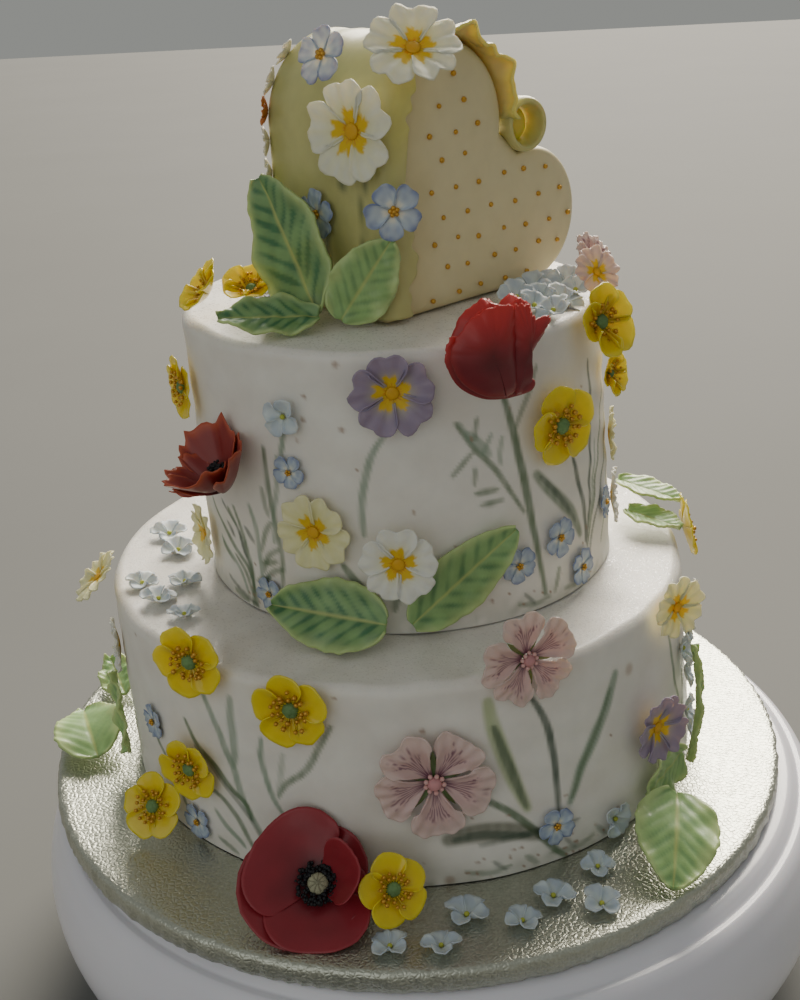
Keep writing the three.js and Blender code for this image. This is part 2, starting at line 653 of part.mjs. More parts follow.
function makeLeaves() {
  const point = (x, y, z) => new THREE.Vector3(x, y, z);
  const cornerLeft = [wallPoint(MIDDLE, -6, 12, 14), wallPoint(MIDDLE, -33, 15, 14)];
  const cornerRight = [wallPoint(MIDDLE, -1, 7, 6), wallPoint(MIDDLE, 25, 42, 5.5)];
  const leaves = [
    [...cornerLeft, direction(-20, 38), { width: 31, length: 52 }],
    [...cornerRight, direction(12, 8), { width: 27, length: 60, fold: 1, wave: 0.8 }],
    [heartPoint(-16, 4, -25), heartPoint(-10, 58, -66), direction(-40, 4), { width: 42, length: 66 }],
    [heartPoint(-19, 5.4, -20), heartPoint(-46, 8, -36), direction(-20, 55), { width: 21, length: 42 }],
    [heartPoint(-13, 3, -14), heartPoint(-2, 39, 9), direction(-10, 0), { width: 27, length: 42, fold: 1 }],
    [wallPoint(BOTTOM, -73, 9, 5.6), wallPoint(BOTTOM, -76, 47, 6), direction(-66, 0), { width: 18, length: 42 }],
    [point(-162, -27, 118), point(-177, 14, 118), direction(-82, 80), { width: 29, length: 46, arch: 6 }],
    [point(-160, 34, 116), point(-172, 62, 122), direction(-95, 70), { width: 20, length: 32 }],
    [point(101, -94, 133), point(91, -137, 117), direction(8, 58), { width: 36, length: 48, arch: 3 }],
    [wallPoint(BOTTOM, 58, 18, 6), wallPoint(BOTTOM, 44, 12, 5), direction(50, 5), { width: 24, length: 32 }],
    [wallPoint(BOTTOM, 61, 8, 6), wallPoint(BOTTOM, 67, 62, 7), direction(78, 4), { width: 9, length: 56, arch: 9 }],
    [point(99, 41, 222), point(124, 26, 217), direction(60, 60), { width: 16, length: 31 }],
    [point(101, 24, 213), point(120, 7, 211), direction(50, 72), { width: 17, length: 27 }],
    [wallPoint(BOTTOM, 170, 46, 4), wallPoint(BOTTOM, 152, 20, 5), direction(161, 6), { width: 22, length: 40 }],
    [wallPoint(MIDDLE, -168, 62, 4), wallPoint(MIDDLE, -150, 34, 4), direction(-160, 6), { width: 22, length: 38 }],
  ];
  leaves.forEach(([stalk, tip, facing, shape], i) => {
    const green = { roughness: 0.6 };
    addPiece(`leaf_${i + 1}`, leafSolid(shape), COLOURS.leaf, leafPlace(stalk, tip, facing), green);
  });
}

makeStand();
makeDrum();
makeTiers();
makeHeart();
makeDrape();
makeButtercups();
makePrimroses();
makeMallows();
makeHeartForgetMeNots();
makePoppies();
makeLeaves();

export default cake;
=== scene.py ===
# %% [markdown]
# A wedding cake of two round tiers with a heart standing on top. White sugarpaste covers the cake,
# sugar flowers and leaves climb over it, and green stems are painted straight onto the icing.
# It stands on a foil-covered drum, and the drum on a moulded plastic stand.
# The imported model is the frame: each piece here is the finely made form of one of its solids.

import bmesh
import bpy
import numpy as np
from mathutils import Matrix, Vector


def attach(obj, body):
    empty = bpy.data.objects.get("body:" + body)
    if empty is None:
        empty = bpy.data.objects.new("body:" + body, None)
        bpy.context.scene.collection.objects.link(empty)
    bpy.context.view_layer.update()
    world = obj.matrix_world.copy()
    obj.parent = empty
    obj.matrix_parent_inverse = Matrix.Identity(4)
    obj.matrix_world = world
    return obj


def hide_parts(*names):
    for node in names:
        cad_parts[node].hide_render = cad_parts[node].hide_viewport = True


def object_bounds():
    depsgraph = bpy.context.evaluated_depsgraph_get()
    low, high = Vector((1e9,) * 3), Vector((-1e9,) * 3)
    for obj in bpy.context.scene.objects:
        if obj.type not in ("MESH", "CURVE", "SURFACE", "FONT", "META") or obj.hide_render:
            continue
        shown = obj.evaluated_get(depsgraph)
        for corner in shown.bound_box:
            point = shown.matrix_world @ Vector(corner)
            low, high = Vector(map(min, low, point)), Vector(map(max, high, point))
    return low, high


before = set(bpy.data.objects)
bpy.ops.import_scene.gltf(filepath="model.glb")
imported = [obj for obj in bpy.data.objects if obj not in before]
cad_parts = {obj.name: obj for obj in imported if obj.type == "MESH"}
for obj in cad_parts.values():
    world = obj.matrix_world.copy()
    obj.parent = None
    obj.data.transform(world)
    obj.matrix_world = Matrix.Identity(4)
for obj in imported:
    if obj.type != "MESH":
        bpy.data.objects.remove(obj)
cad_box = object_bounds()
cad_corners = [tuple(round(c, 4) for c in corner) for corner in cad_box]
print("frame of", len(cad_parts), "solids, box", cad_corners)

# %% [markdown]
# The photograph was taken by hand from a little above the cake, so the camera looks down 23 degrees
# and leans 3 degrees to one side. A camera looks along its own -Z, so the three columns of its
# rotation are its right, its up and the way back from what it sees.

# %% Camera
CAMERA_PLACE = Vector((-0.008, -0.5677, 0.4795))
CAMERA_PITCH, CAMERA_YAW, CAMERA_ROLL = np.radians((23.378, -0.197, -2.874))
CAMERA_LENS_MM = 47.56

flat_reach = np.cos(CAMERA_PITCH)
ahead = Vector((np.sin(CAMERA_YAW) * flat_reach, np.cos(CAMERA_YAW) * flat_reach, -np.sin(CAMERA_PITCH)))
level_right = Vector((np.cos(CAMERA_YAW), -np.sin(CAMERA_YAW), 0))
level_up = level_right.cross(ahead)
right = level_right * np.cos(CAMERA_ROLL) + level_up * np.sin(CAMERA_ROLL)
up = level_up * np.cos(CAMERA_ROLL) - level_right * np.sin(CAMERA_ROLL)

camera = bpy.data.objects.new("camera", bpy.data.cameras.new("camera"))
camera.data.lens = CAMERA_LENS_MM
camera.matrix_world = Matrix.Translation(CAMERA_PLACE) @ Matrix((right, up, -ahead)).transposed().to_4x4()
bpy.context.scene.collection.objects.link(camera)
bpy.context.scene.camera = camera
print("camera", [round(c, 3) for c in camera.location], "lens", CAMERA_LENS_MM, "mm")

# %% [markdown]
# A window behind the cake, to the right, lights it: the tops shine and the front lies in soft shade.
# A sun with a very wide disc stands for that soft window, because it lights the whole floor evenly.
# A dim area light lifts the front, and the world stands for the pale walls round the table.

# %% Light
LOOK_AT = Vector((0, 0, 0.25))


def srgb(hex_colour):
    """An sRGB hex value such as 0xf2c811 as linear red, green, blue and alpha."""
    channels = np.array([(hex_colour >> shift) & 255 for shift in (16, 8, 0)]) / 255
    linear = np.where(channels <= 0.04045, channels / 12.92, ((channels + 0.055) / 1.055) ** 2.4)
    return (*linear.tolist(), 1.0)


def add_light(name, kind, place, energy, hex_colour, **settings):
    """A light that faces the middle of the cake and isn't seen itself."""
    light = bpy.data.lights.new(name, kind)
    light.energy, light.color = energy, srgb(hex_colour)[:3]
    for setting, value in settings.items():
        setattr(light, setting, value)
    lamp = bpy.data.objects.new(name, light)
    lamp.location = place
    lamp.rotation_euler = (LOOK_AT - Vector(place)).to_track_quat("-Z", "Y").to_euler()
    lamp.visible_camera = False
    bpy.context.scene.collection.objects.link(lamp)


add_light("window", "SUN", (0.42, 1.76, 1.42), 6.8, 0xfff6e6, angle=np.radians(40))
add_light("room", "AREA", (-0.9, -1.6, 1.0), 6, 0xf4f6f2, size=1.8)
world = bpy.data.worlds.new("room_air")
world.use_nodes = True
world.node_tree.nodes["Background"].inputs["Color"].default_value = srgb(0xcdcfca)
world.node_tree.nodes["Background"].inputs["Strength"].default_value = 0.45
bpy.context.scene.world = world
print("a wide sun, one area light and a grey world")

# %% [markdown]
# Materials come next. Everything edible takes its base colour from paint that is stored on the mesh,
# one colour for each vertex, because a cake painter's brush follows the petals and not a pattern.
# Nodes then add what is too fine for the mesh: grain, glitter, the creases of foil.

# %% One helper for nodes
def add_node(material, kind, inputs=None, **settings):
    """Adds a node; `inputs` gives each socket a value, or links it to another node's output."""
    tree = material.node_tree
    node = tree.nodes.new(kind)
    for setting, value in settings.items():
        setattr(node, setting, value)
    for socket, value in (inputs or {}).items():
        if isinstance(value, bpy.types.NodeSocket):
            tree.links.new(value, node.inputs[socket])
        else:
            node.inputs[socket].default_value = value
    return node


def new_material(name, **sockets):
    """A material, its Principled surface with sockets set as constants, and where each point lies."""
    material = bpy.data.materials.new(name)
    material.use_nodes = True
    surface = material.node_tree.nodes["Principled BSDF"]
    for socket, value in sockets.items():
        surface.inputs[socket.replace("_", " ")].default_value = value
    place = add_node(material, "ShaderNodeTexCoord").outputs["Object"]
    return material, surface, place


def link(material, output, surface, socket):
    """Lets a node's output drive one socket of the surface."""
    material.node_tree.links.new(output, surface.inputs[socket])


print("node helpers ready")

# %% [markdown]
# Sugarpaste is sugar kneaded with gum and glucose, rolled out and smoothed by hand. It is dull where
# it has dried and a little waxy, light goes a few millimetres into it, and its surface keeps a fine
# grain. Dried petals differ from the cover in gloss and grain alone, so one recipe makes them all.

# %% Sugarpaste
SUGAR_IOR = 1.5
GLOW_DEPTH = 0.0035


def sugarpaste(name, roughness, grain_mm=0.5, relief_mm=0.03, glow=0.25, gloss=0.0, mottle=0.06):
    """Icing or a dried petal: grain of one size, and its paint clouded a little."""
    material, surface, place = new_material(
        name, Roughness=roughness, IOR=SUGAR_IOR, Subsurface_Weight=glow, Subsurface_Scale=GLOW_DEPTH,
        Coat_Weight=gloss, Coat_Roughness=0.12,
    )
    surface.inputs["Subsurface Radius"].default_value = (1.0, 0.75, 0.5)
    paint = add_node(material, "ShaderNodeAttribute", attribute_name="paint")
    clouds = add_node(material, "ShaderNodeTexNoise", {"Vector": place, "Scale": 1 / 0.006, "Detail": 4.0})
    shade = add_node(
        material, "ShaderNodeMapRange",
        {"Value": clouds.outputs["Fac"], "From Min": 0.3, "From Max": 0.7, "To Min": 1 - mottle,
         "To Max": 1 + mottle / 2},
    )
    clouded = add_node(
        material, "ShaderNodeVectorMath", {0: paint.outputs["Color"], "Scale": shade.outputs["Result"]},
        operation="SCALE"
    )
    link(material, clouded.outputs["Vector"], surface, "Base Color")
    grain = add_node(
        material, "ShaderNodeTexNoise", {"Vector": place, "Scale": 1000 / grain_mm, "Detail": 3.0}
    )
    relief = add_node(
        material, "ShaderNodeBump",
        {"Height": grain.outputs["Fac"], "Distance": relief_mm / 1000, "Strength": 0.6}
    )
    link(material, relief.outputs["Normal"], surface, "Normal")
    return material


icing = sugarpaste("sugarpaste_cover", 0.48, grain_mm=0.8, relief_mm=0.05, glow=0.18, mottle=0.03)
print("made", icing.name)

# %% [markdown]
# The level tops are dusted with edible glitter: flakes of about a third of a millimetre that catch the
# window one by one. They are drawn at 0.7 mm, so that they show at this distance. Each flake is a
# Voronoi cell with its own chance of being a bright, tilted mirror.

# %% Glitter on the tops
FLAKE_MM = 0.7
FLAKE_SHARE = 0.1
DULL, MIRROR = 0.42, 0.16

glittered = sugarpaste("glittered_sugarpaste", 0.4, grain_mm=0.9, relief_mm=0.14, glow=0.15, mottle=0.05)
glitter_surface = glittered.node_tree.nodes["Principled BSDF"]
glitter_relief = glittered.node_tree.nodes["Bump"]
spot = glittered.node_tree.nodes["Texture Coordinate"].outputs["Object"]
flakes = add_node(glittered, "ShaderNodeTexVoronoi", {"Vector": spot, "Scale": 1000 / FLAKE_MM})
chance = add_node(glittered, "ShaderNodeSeparateColor", {"Color": flakes.outputs["Color"]})
is_flake = add_node(
    glittered, "ShaderNodeMath", {0: chance.outputs["Red"], 1: FLAKE_SHARE}, operation="LESS_THAN"
)
mirror = add_node(
    glittered, "ShaderNodeMapRange", {"Value": is_flake.outputs["Value"], "To Min": DULL, "To Max": MIRROR}
)
link(glittered, mirror.outputs["Result"], glitter_surface, "Roughness")
tilted = add_node(
    glittered, "ShaderNodeBump",
    {"Height": chance.outputs["Green"], "Distance": 0.0004, "Strength": 0.5,
     "Normal": glitter_relief.outputs["Normal"]},
)
link(glittered, tilted.outputs["Normal"], glitter_surface, "Normal")
print("glitter flakes of", FLAKE_MM, "mm on one cell in", round(1 / FLAKE_SHARE))

# %% [markdown]
# The finer materials: gold beads are sugar pearls in gold lustre, so they are metals with a worn
# shine. The seed heads and stamens are tinted sugar, rough and dull.

# %% Beads and seed heads
gold_lustre, gold_surface, place = new_material("gold_lustre", Metallic=0.6, Roughness=0.3)
worn = add_node(gold_lustre, "ShaderNodeTexNoise", {"Vector": place, "Scale": 1 / 0.0008})
worn_gold = add_node(
    gold_lustre, "ShaderNodeMix", {"Factor": worn.outputs["Fac"], "A": srgb(0xb07a20), "B": srgb(0xf2c258)},
    data_type="RGBA"
)
link(gold_lustre, worn_gold.outputs["Result"], gold_surface, "Base Color")

petal_paste = sugarpaste("dried_petal_paste", 0.5, grain_mm=0.45, relief_mm=0.05, glow=0.3)
glazed_paste = sugarpaste("glazed_petal_paste", 0.32, grain_mm=0.6, relief_mm=0.05, glow=0.3, gloss=0.35)
dusted_paste = sugarpaste("dusted_poppy_paste", 0.42, grain_mm=0.5, relief_mm=0.06, glow=0.08, gloss=0.18)
leaf_paste = sugarpaste(
    "brushed_leaf_paste", 0.42, grain_mm=0.7, relief_mm=0.08, glow=0.22, gloss=0.12, mottle=0.12
)
seed_paste = sugarpaste("seed_head_paste", 0.6, grain_mm=0.9, relief_mm=0.3, glow=0.05, mottle=0.25)
finishes = (gold_lustre, petal_paste, glazed_paste, dusted_paste, leaf_paste, seed_paste)
print("made", [finish.name for finish in finishes])

# %% [markdown]
# A drum is a thick board wrapped in aluminium foil. The foil is embossed with fine crazing, a little
# over 2 mm from crease to crease, and it is creased again where it goes round the edge. A lacquer makes
# it warm and a little dull, so it is a metal with roughness that changes from facet to facet.

# %% Embossed foil
CREASE_MM = 2.3

foil, foil_surface, place = new_material("embossed_aluminium_foil", Metallic=0.92, Roughness=0.3)
facets = add_node(foil, "ShaderNodeTexVoronoi", {"Vector": place, "Scale": 1000 / CREASE_MM}, feature="F2")
creases = add_node(
    foil, "ShaderNodeTexVoronoi", {"Vector": place, "Scale": 1000 / CREASE_MM}, feature="DISTANCE_TO_EDGE"
)
fine_grit = add_node(foil, "ShaderNodeTexNoise", {"Vector": place, "Scale": 1 / 0.0011, "Detail": 4.0})
silver = add_node(
    foil, "ShaderNodeMix", {"Factor": fine_grit.outputs["Fac"], "A": srgb(0xa2a598), "B": srgb(0xd9dbce)},
    data_type="RGBA"
)
link(foil, silver.outputs["Result"], foil_surface, "Base Color")
dull = add_node(foil, "ShaderNodeMapRange", {"Value": fine_grit.outputs["Fac"], "To Min": 0.2, "To Max": 0.5})
link(foil, dull.outputs["Result"], foil_surface, "Roughness")
crease_height = add_node(
    foil, "ShaderNodeMapRange", {"Value": creases.outputs["Distance"], "From Max": 0.25, "To Max": 1.0}
)
facet_height = add_node(
    foil, "ShaderNodeMath",
    {0: facets.outputs["Distance"], 1: 0.6, 2: crease_height.outputs["Result"]}, operation="MULTIPLY_ADD",
)
grit_height = add_node(
    foil, "ShaderNodeMath", {0: fine_grit.outputs["Fac"], 1: 0.8, 2: facet_height.outputs["Value"]},
    operation="MULTIPLY_ADD"
)
embossing = add_node(
    foil, "ShaderNodeBump", {"Height": grit_height.outputs["Value"], "Distance": 0.00022, "Strength": 0.55}
)
link(foil, embossing.outputs["Normal"], foil_surface, "Normal")
print("foil creased every", CREASE_MM, "mm")

# %% [markdown]
# The stand is injection-moulded plastic, such as ABS, polished by its mould. It has a clean gloss
# with a faint orange-peel, and a cool white that turns lavender in shade.

# %% Moulded plastic and the floor
plastic, plastic_surface, place = new_material(
    "white_moulded_abs", Roughness=0.22, IOR=1.53, Subsurface_Weight=0.05, Subsurface_Scale=0.004
)
peel = add_node(plastic, "ShaderNodeTexNoise", {"Vector": place, "Scale": 1 / 0.004, "Detail": 2.0})
peel_relief = add_node(
    plastic, "ShaderNodeBump", {"Height": peel.outputs["Fac"], "Distance": 0.00003, "Strength": 0.5}
)
handled = add_node(plastic, "ShaderNodeTexNoise", {"Vector": place, "Scale": 1 / 0.06})
tone = add_node(
    plastic, "ShaderNodeMix", {"Factor": handled.outputs["Fac"], "A": srgb(0xe2e0ec), "B": srgb(0xeeedf4)},
    data_type="RGBA"
)
link(plastic, tone.outputs["Result"], plastic_surface, "Base Color")
link(plastic, peel_relief.outputs["Normal"], plastic_surface, "Normal")

matt, matt_surface, place = new_material("matt_floor_paint", Roughness=0.8)
patches = add_node(matt, "ShaderNodeTexNoise", {"Vector": place, "Scale": 3.0, "Detail": 3.0})
pale = add_node(
    matt, "ShaderNodeMix", {"Factor": patches.outputs["Fac"], "A": srgb(0x6b6c6a), "B": srgb(0x737472)},
    data_type="RGBA"
)
link(matt, pale.outputs["Result"], matt_surface, "Base Color")
print("made", plastic.name, "and", matt.name)

# %% [markdown]
# Meshes are gathered in millimetres by one small class. It knows three forms: a grid of points, a
# sheet, which is a grid given a thickness and a closed rim, and a ball. A piece can have several
# materials, such as petals, a seed head and beads, so each face remembers which one it has.
# A finished piece is served as one Blender object, which rides on the cake's one body and replaces
# the solid that it dresses.

# %% A gatherer of grids, sheets and balls
ball_shapes = {}
for detail in (1, 2, 3):
    shape = bmesh.new()
    bmesh.ops.create_icosphere(shape, subdivisions=detail, radius=1)
    ball_shapes[detail] = (
        np.array([v.co for v in shape.verts]), np.array([[v.index for v in f.verts] for f in shape.faces])
    )
    shape.free()


def crosswise(points):
    """The unit normal at each point of a grid, from the slopes along its rows and columns."""
    down, across = np.gradient(points, axis=0), np.gradient(points, axis=1)
    normal = np.cross(down, across)
    return normal / np.maximum(np.linalg.norm(normal, axis=-1, keepdims=True), 1e-9)


def spread(paint, points):
    """A colour for each point, from one colour or from a grid of them."""
    return np.broadcast_to(np.asarray(paint, float)[..., :3], points.shape).reshape(-1, 3)


class Piece:
    """Points, faces, paint and materials of one piece, in millimetres."""

    def __init__(self):
        self.points, self.paint, self.faces, self.finish, self.count = [], [], [], [], 0

    def add(self, points, paint, faces, finish):
        flat = points.reshape(-1, 3)
        self.points.append(flat)
        self.paint.append(spread(paint, points))
        self.faces.extend((np.asarray(faces) + self.count).tolist())
        self.finish.extend([finish] * len(faces))
        self.count += len(flat)

    def grid(self, points, paint, finish=0, around=False):
        """A surface seen from the side where rows run down and columns run to the right."""
        rows, columns = points.shape[:2]
        index = np.arange(rows * columns).reshape(rows, columns)
        if around:
            index = np.hstack([index, index[:, :1]])
        corners = (index[:-1, :-1], index[1:, :-1], index[1:, 1:], index[:-1, 1:])
        self.add(points, paint, np.stack(corners, -1).reshape(-1, 4), finish)

    def sheet(self, points, thickness, paint, finish=0, normal=None, under=None):
        """A grid with a second face `thickness` below it and a rim between the two."""
        normal = crosswise(points) if normal is None else normal
        below = points - normal * np.asarray(thickness)[..., None]
        rows, columns = points.shape[:2]
        top = np.arange(rows * columns).reshape(rows, columns)
        low = top + rows * columns
        border = np.concatenate([top[0, :-1], top[:-1, -1], top[-1, :0:-1], top[:0:-1, 0]])
        after = np.roll(border, -1)
        both = np.concatenate([points.reshape(-1, 3), below.reshape(-1, 3)])
        full = spread(paint, points)
        lower = full if under is None else spread(under, points)
        quads = [
            np.stack([top[:-1, :-1], top[1:, :-1], top[1:, 1:], top[:-1, 1:]], -1).reshape(-1, 4),
            np.stack([low[:-1, :-1], low[:-1, 1:], low[1:, 1:], low[1:, :-1]], -1).reshape(-1, 4),
            np.stack([border, after, after + rows * columns, border + rows * columns], -1),
        ]
        self.add(both, np.concatenate([full, lower]), np.concatenate(quads), finish)

    def ball(self, centre, radius, paint, finish=0, detail=2):
        """A ball, or an egg where `radius` gives three radii."""
        points, faces = ball_shapes[detail]
        self.add(points * radius + np.asarray(centre, float), paint, faces, finish)

    def join(self, other, place):
        """Adds another piece, set in place by a 4 by 4 matrix."""
        points = np.concatenate(other.points) @ place[:3, :3].T + place[:3, 3]
        start = self.count
        self.points.append(points)
        self.paint.append(np.concatenate(other.paint))
        self.faces.extend([[corner + start for corner in face] for face in other.faces])
        self.finish.extend(other.finish)
        self.count += len(points)


def serve(name, piece, materials, node=None, place=None):
    """Makes the piece a Blender object, in metres, on the cake's one body, and gives it its materials."""
    points = np.concatenate(piece.points)
    if place is not None:
        points = points @ place[:3, :3].T + place[:3, 3]
    mesh = bpy.data.meshes.new(name)
    mesh.from_pydata((points / 1000).tolist(), [], piece.faces)
    paint = mesh.attributes.new("paint", "FLOAT_COLOR", "POINT")
    colours = np.column_stack([np.concatenate(piece.paint), np.ones(len(points))])
    paint.data.foreach_set("color", colours.astype(np.float32).ravel())
    for material in materials:
        mesh.materials.append(material)
    mesh.polygons.foreach_set("material_index", np.array(piece.finish, np.int32))
    mesh.polygons.foreach_set("use_smooth", np.ones(len(piece.faces), bool))
    mesh.update()
    made = bpy.data.objects.new(name, mesh)
    bpy.context.scene.collection.objects.link(made)
    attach(made, "root")
    if node:
        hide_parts(node)
    return made


print("piece gatherer ready; a ball of detail 2 has", len(ball_shapes[2][1]), "triangles")

# %% [markdown]
# A few helpers shape and paint the pieces. Stand and drum are turned forms. Cake and sugar have no
# truly flat or evenly coloured face, so blends, soft steps and smooth noise are used everywhere.

# %% Helpers for forms and paint
def lathe(outline, sectors, centre=(0, 0)):
    """Grid points of a turned form; `outline` runs from the top's middle down to the foot."""
    turn = np.linspace(0, 2 * np.pi, sectors, endpoint=False)
    outline = np.asarray(outline, float)
    x = centre[0] + outline[:, :1] * np.cos(turn)
    y = centre[1] + outline[:, :1] * np.sin(turn)
    return np.stack([x, y, np.broadcast_to(outline[:, 1:], x.shape)], -1)


def blend(a, b, share):
    """Between two values: a where share is 0 and b where it is 1."""
    return np.asarray(a, float) * (1 - share) + np.asarray(b, float) * share


def mingle(a, b, share):
    """Between two paints, point by point."""
    return blend(a, b, np.asarray(share, float)[..., None])


def smooth(low, high, value):
    """0 below low, 1 above high, and a soft step between them."""
    share = np.clip((np.asarray(value, float) - low) / (high - low), 0, 1)
    return share * share * (3 - 2 * share)


def rumple(x, y, size, seed, count=9):
    """Smooth noise from about -1 to 1 over a plane: `count` waves, with bumps about `size` apart."""
    draw = np.random.default_rng(seed)
    total = np.zeros(np.broadcast(x, y).shape)
    for _ in range(count):
        angle, phase = draw.uniform(0, 2 * np.pi, 2)
        wave = 2 * np.pi / size * draw.uniform(0.6, 1.5)
        total += np.sin(wave * (x * np.cos(angle) + y * np.sin(angle)) + phase)
    return total / (count / 2)


def tint(hex_colour):
    """A paint colour as linear red, green and blue."""
    return np.array(srgb(hex_colour)[:3])


print("form and paint helpers ready; mid grey is", [round(c, 3) for c in tint(0x808080)])

# %% [markdown]
# The stand is one turned form: a wide skirt that swells below the top, then a ridge and a groove
# round the plate. A few corner points give its outline, and a smooth curve through them rounds it.

# %% The stand
STAND_TOP = 100.7
STAND_SECTORS = 144
STAND_OUTLINE = [
    (0, STAND_TOP), (168, STAND_TOP), (171, STAND_TOP), (175, 99.9), (177.6, 97.6), (179, 96.2),
    (180.6, 95.9), (182.5, 95.5), (185.2, 93.0), (187.5, 89), (191.5, 79), (194, 64), (192, 48), (185, 31),
    (173, 12), (160, 2.5), (152, 0), (0, 0),
]


def eased(outline, steps):
    """Points along a Catmull-Rom curve through an outline's corners."""
    corners = np.asarray(outline, float)
    ends = np.vstack([corners[:1], corners, corners[-1:]])
    share = np.linspace(0, 1, steps, endpoint=False)[:, None]
    curve = []
    for a, b, c, d in zip(ends, ends[1:], ends[2:], ends[3:]):
        bend = 2 * a - 5 * b + 4 * c - d + share * (3 * (b - c) + d - a)
        curve.append(b + share / 2 * (c - a + share * bend))
    return np.vstack([*curve, corners[-1:]])


stand = Piece()
stand_outline = np.vstack([[0, STAND_TOP], eased(STAND_OUTLINE[1:-1], 5), [0, 0]])
stand.grid(lathe(stand_outline, STAND_SECTORS), tint(0xe9e8f0), around=True)
serve("stand_moulding", stand, [plastic], "stand")
print("stand", len(stand.faces), "faces")

# %% [markdown]
# The drum is 14 inches across. Foil that is folded round a circle has more length than the edge
# needs, so it lies there in short upright creases. They are cut into the rim, which keeps the size.

# %% The drum
DRUM_CENTRE, DRUM_LOW, DRUM_RADIUS, DRUM_THICK = (-8, 2), STAND_TOP + 0.3, 177.8, 11
DRUM_TOP = DRUM_LOW + DRUM_THICK
DRUM_SECTORS = 360
CRIMP_DEPTH, BROAD_CRIMPS, NARROW_CRIMPS = 0.75, 61, 97

drum_outline = [(r, DRUM_THICK) for r in np.linspace(0, 172, 50)]
drum_outline += [(175, 10.9), (176.6, 10.5), (177.4, 9.6), (DRUM_RADIUS, 8), (DRUM_RADIUS, 5.5)]
drum_outline += [(DRUM_RADIUS, 3), (177.4, 1.2), (176, 0.2), (170, 0), (0, 0)]
drum_points = lathe(drum_outline, DRUM_SECTORS, DRUM_CENTRE)
turn = np.linspace(0, 2 * np.pi, DRUM_SECTORS, endpoint=False)
levels = np.array(drum_outline)[:, 1:]
edge_share = smooth(172, 177, np.array(drum_outline)[:, :1]) * np.ones_like(turn)
broad = np.abs(np.sin(turn * BROAD_CRIMPS + 2.2 * np.sin(turn * 17) + levels * 0.12)) ** 3
narrow = np.abs(np.sin(turn * NARROW_CRIMPS + levels * 0.2)) ** 6
inwards = CRIMP_DEPTH * edge_share * (broad + 0.6 * narrow) / DRUM_RADIUS
drum_points[..., :2] -= (drum_points[..., :2] - np.array(DRUM_CENTRE)) * inwards[..., None]
sag = 0.16 * (rumple(drum_points[..., 0], drum_points[..., 1], 46, 3) - 1) * (levels > 10.95)
drum_points[..., 2] += DRUM_LOW + sag
drum = Piece()
drum.grid(drum_points, tint(0xc9c7c2), around=True)
serve("drum_foil", drum, [foil], "drum")
print("drum", len(drum.faces), "faces, top at", DRUM_TOP, "mm")

# %% [markdown]
# Everything on the tiers is placed by an azimuth round the wall, 0 at the front and 90 to the right,
# and a height above the tier's foot. Both tiers lean slightly, so a tier's section changes as it rises.

# %% Places on the tiers
BOTTOM = {"z": DRUM_TOP + 0.3, "height": 94, "foot": (-8.5, 12.5, 138.5), "rim": (-13.3, 14.2, 135.8)}
MIDDLE = {"z": BOTTOM["z"] + 94.3, "height": 123, "foot": (-5.5, 17, 96), "rim": (-9.8, 17.6, 94.1)}
GAP = 0.3
UP = np.array((0.0, 0.0, 1.0))
BACKWARD = np.array((0.0, 1.0, 0.0))


def wall_point(tier, azimuth, height, out=0.0):
    """A point on a tier's wall, or `out` millimetres in front of it."""
    share = np.asarray(height) / tier["height"]
    x, y, radius = (blend(foot, rim, share) for foot, rim in zip(tier["foot"], tier["rim"]))
    angle, reach = np.radians(azimuth), radius + out
    across, away = x + reach * np.sin(angle), y - reach * np.cos(angle)
    return np.stack(np.broadcast_arrays(across, away, tier["z"] + height), -1)


def wall_normal(tier, azimuth, height):
    """The way a tier's wall faces at one place."""
    angle = np.radians(azimuth)
    rise = wall_point(tier, azimuth, height + 1) - wall_point(tier, azimuth, height)
    normal = np.cross((np.cos(angle), np.sin(angle), 0), rise)
    return normal / np.linalg.norm(normal)


def direction(azimuth, elevation):
    """The unit vector that points to an azimuth and rises by an elevation, in degrees."""
    angle, tilt = np.radians(azimuth), np.radians(elevation)
    return np.array((np.cos(tilt) * np.sin(angle), -np.cos(tilt) * np.cos(angle), np.sin(tilt)))


def seat(origin, normal, upward=UP, spin=0.0):
    """The place of a piece whose own Z is the normal and whose Y is as near to `upward` as it can be."""
    z = normal / np.linalg.norm(normal)
    x = np.cross(upward, z)
    x /= np.linalg.norm(x)
    place = np.eye(4)
    place[:3, :3] = np.column_stack([x, np.cross(z, x), z])
    place[:3, 3] = origin
    return place @ np.array(Matrix.Rotation(np.radians(spin), 4, "Z"))


def on_wall(tier, azimuth, height, radius, spin=0.0, turn=0.0, tip=0.0, out=0.0):
    """A flower's seat on a wall; one that is turned or tipped is lifted, so that its edge stays clear."""
    lift = GAP + out + radius * (abs(np.sin(np.radians(turn))) + abs(np.sin(np.radians(tip))))
    normal = direction(azimuth + turn, tip) if turn or tip else wall_normal(tier, azimuth, height)
    return seat(wall_point(tier, azimuth, height, lift), normal, UP, spin)


def on_level(x, y, z, azimuth, elevation, spin=0.0):
    """A flower's seat on a level top, facing where azimuth and elevation say."""
    return seat(np.array((x, y, z)), direction(azimuth, elevation), UP, spin)


print("bottom tier from", BOTTOM["z"], "and middle tier from", MIDDLE["z"], "mm")

# %% [markdown]
# The stems and grasses are painted on the wall with green dust in alcohol, so they have soft edges
# and uneven cover. Each stroke is a line of places on the wall with a width in millimetres; every
# point of the wall's mesh takes as much of the colour as its distance from the line says. The mesh
# has a point every millimetre or so, fine enough for a brush stroke.

# %% Brush strokes
DEEP_GREEN, MOSS, SAGE, OLIVE, FRESH = (tint(h) for h in (0x2f4a38, 0x56714d, 0x7f9680, 0x4c5230, 0x8fa650))


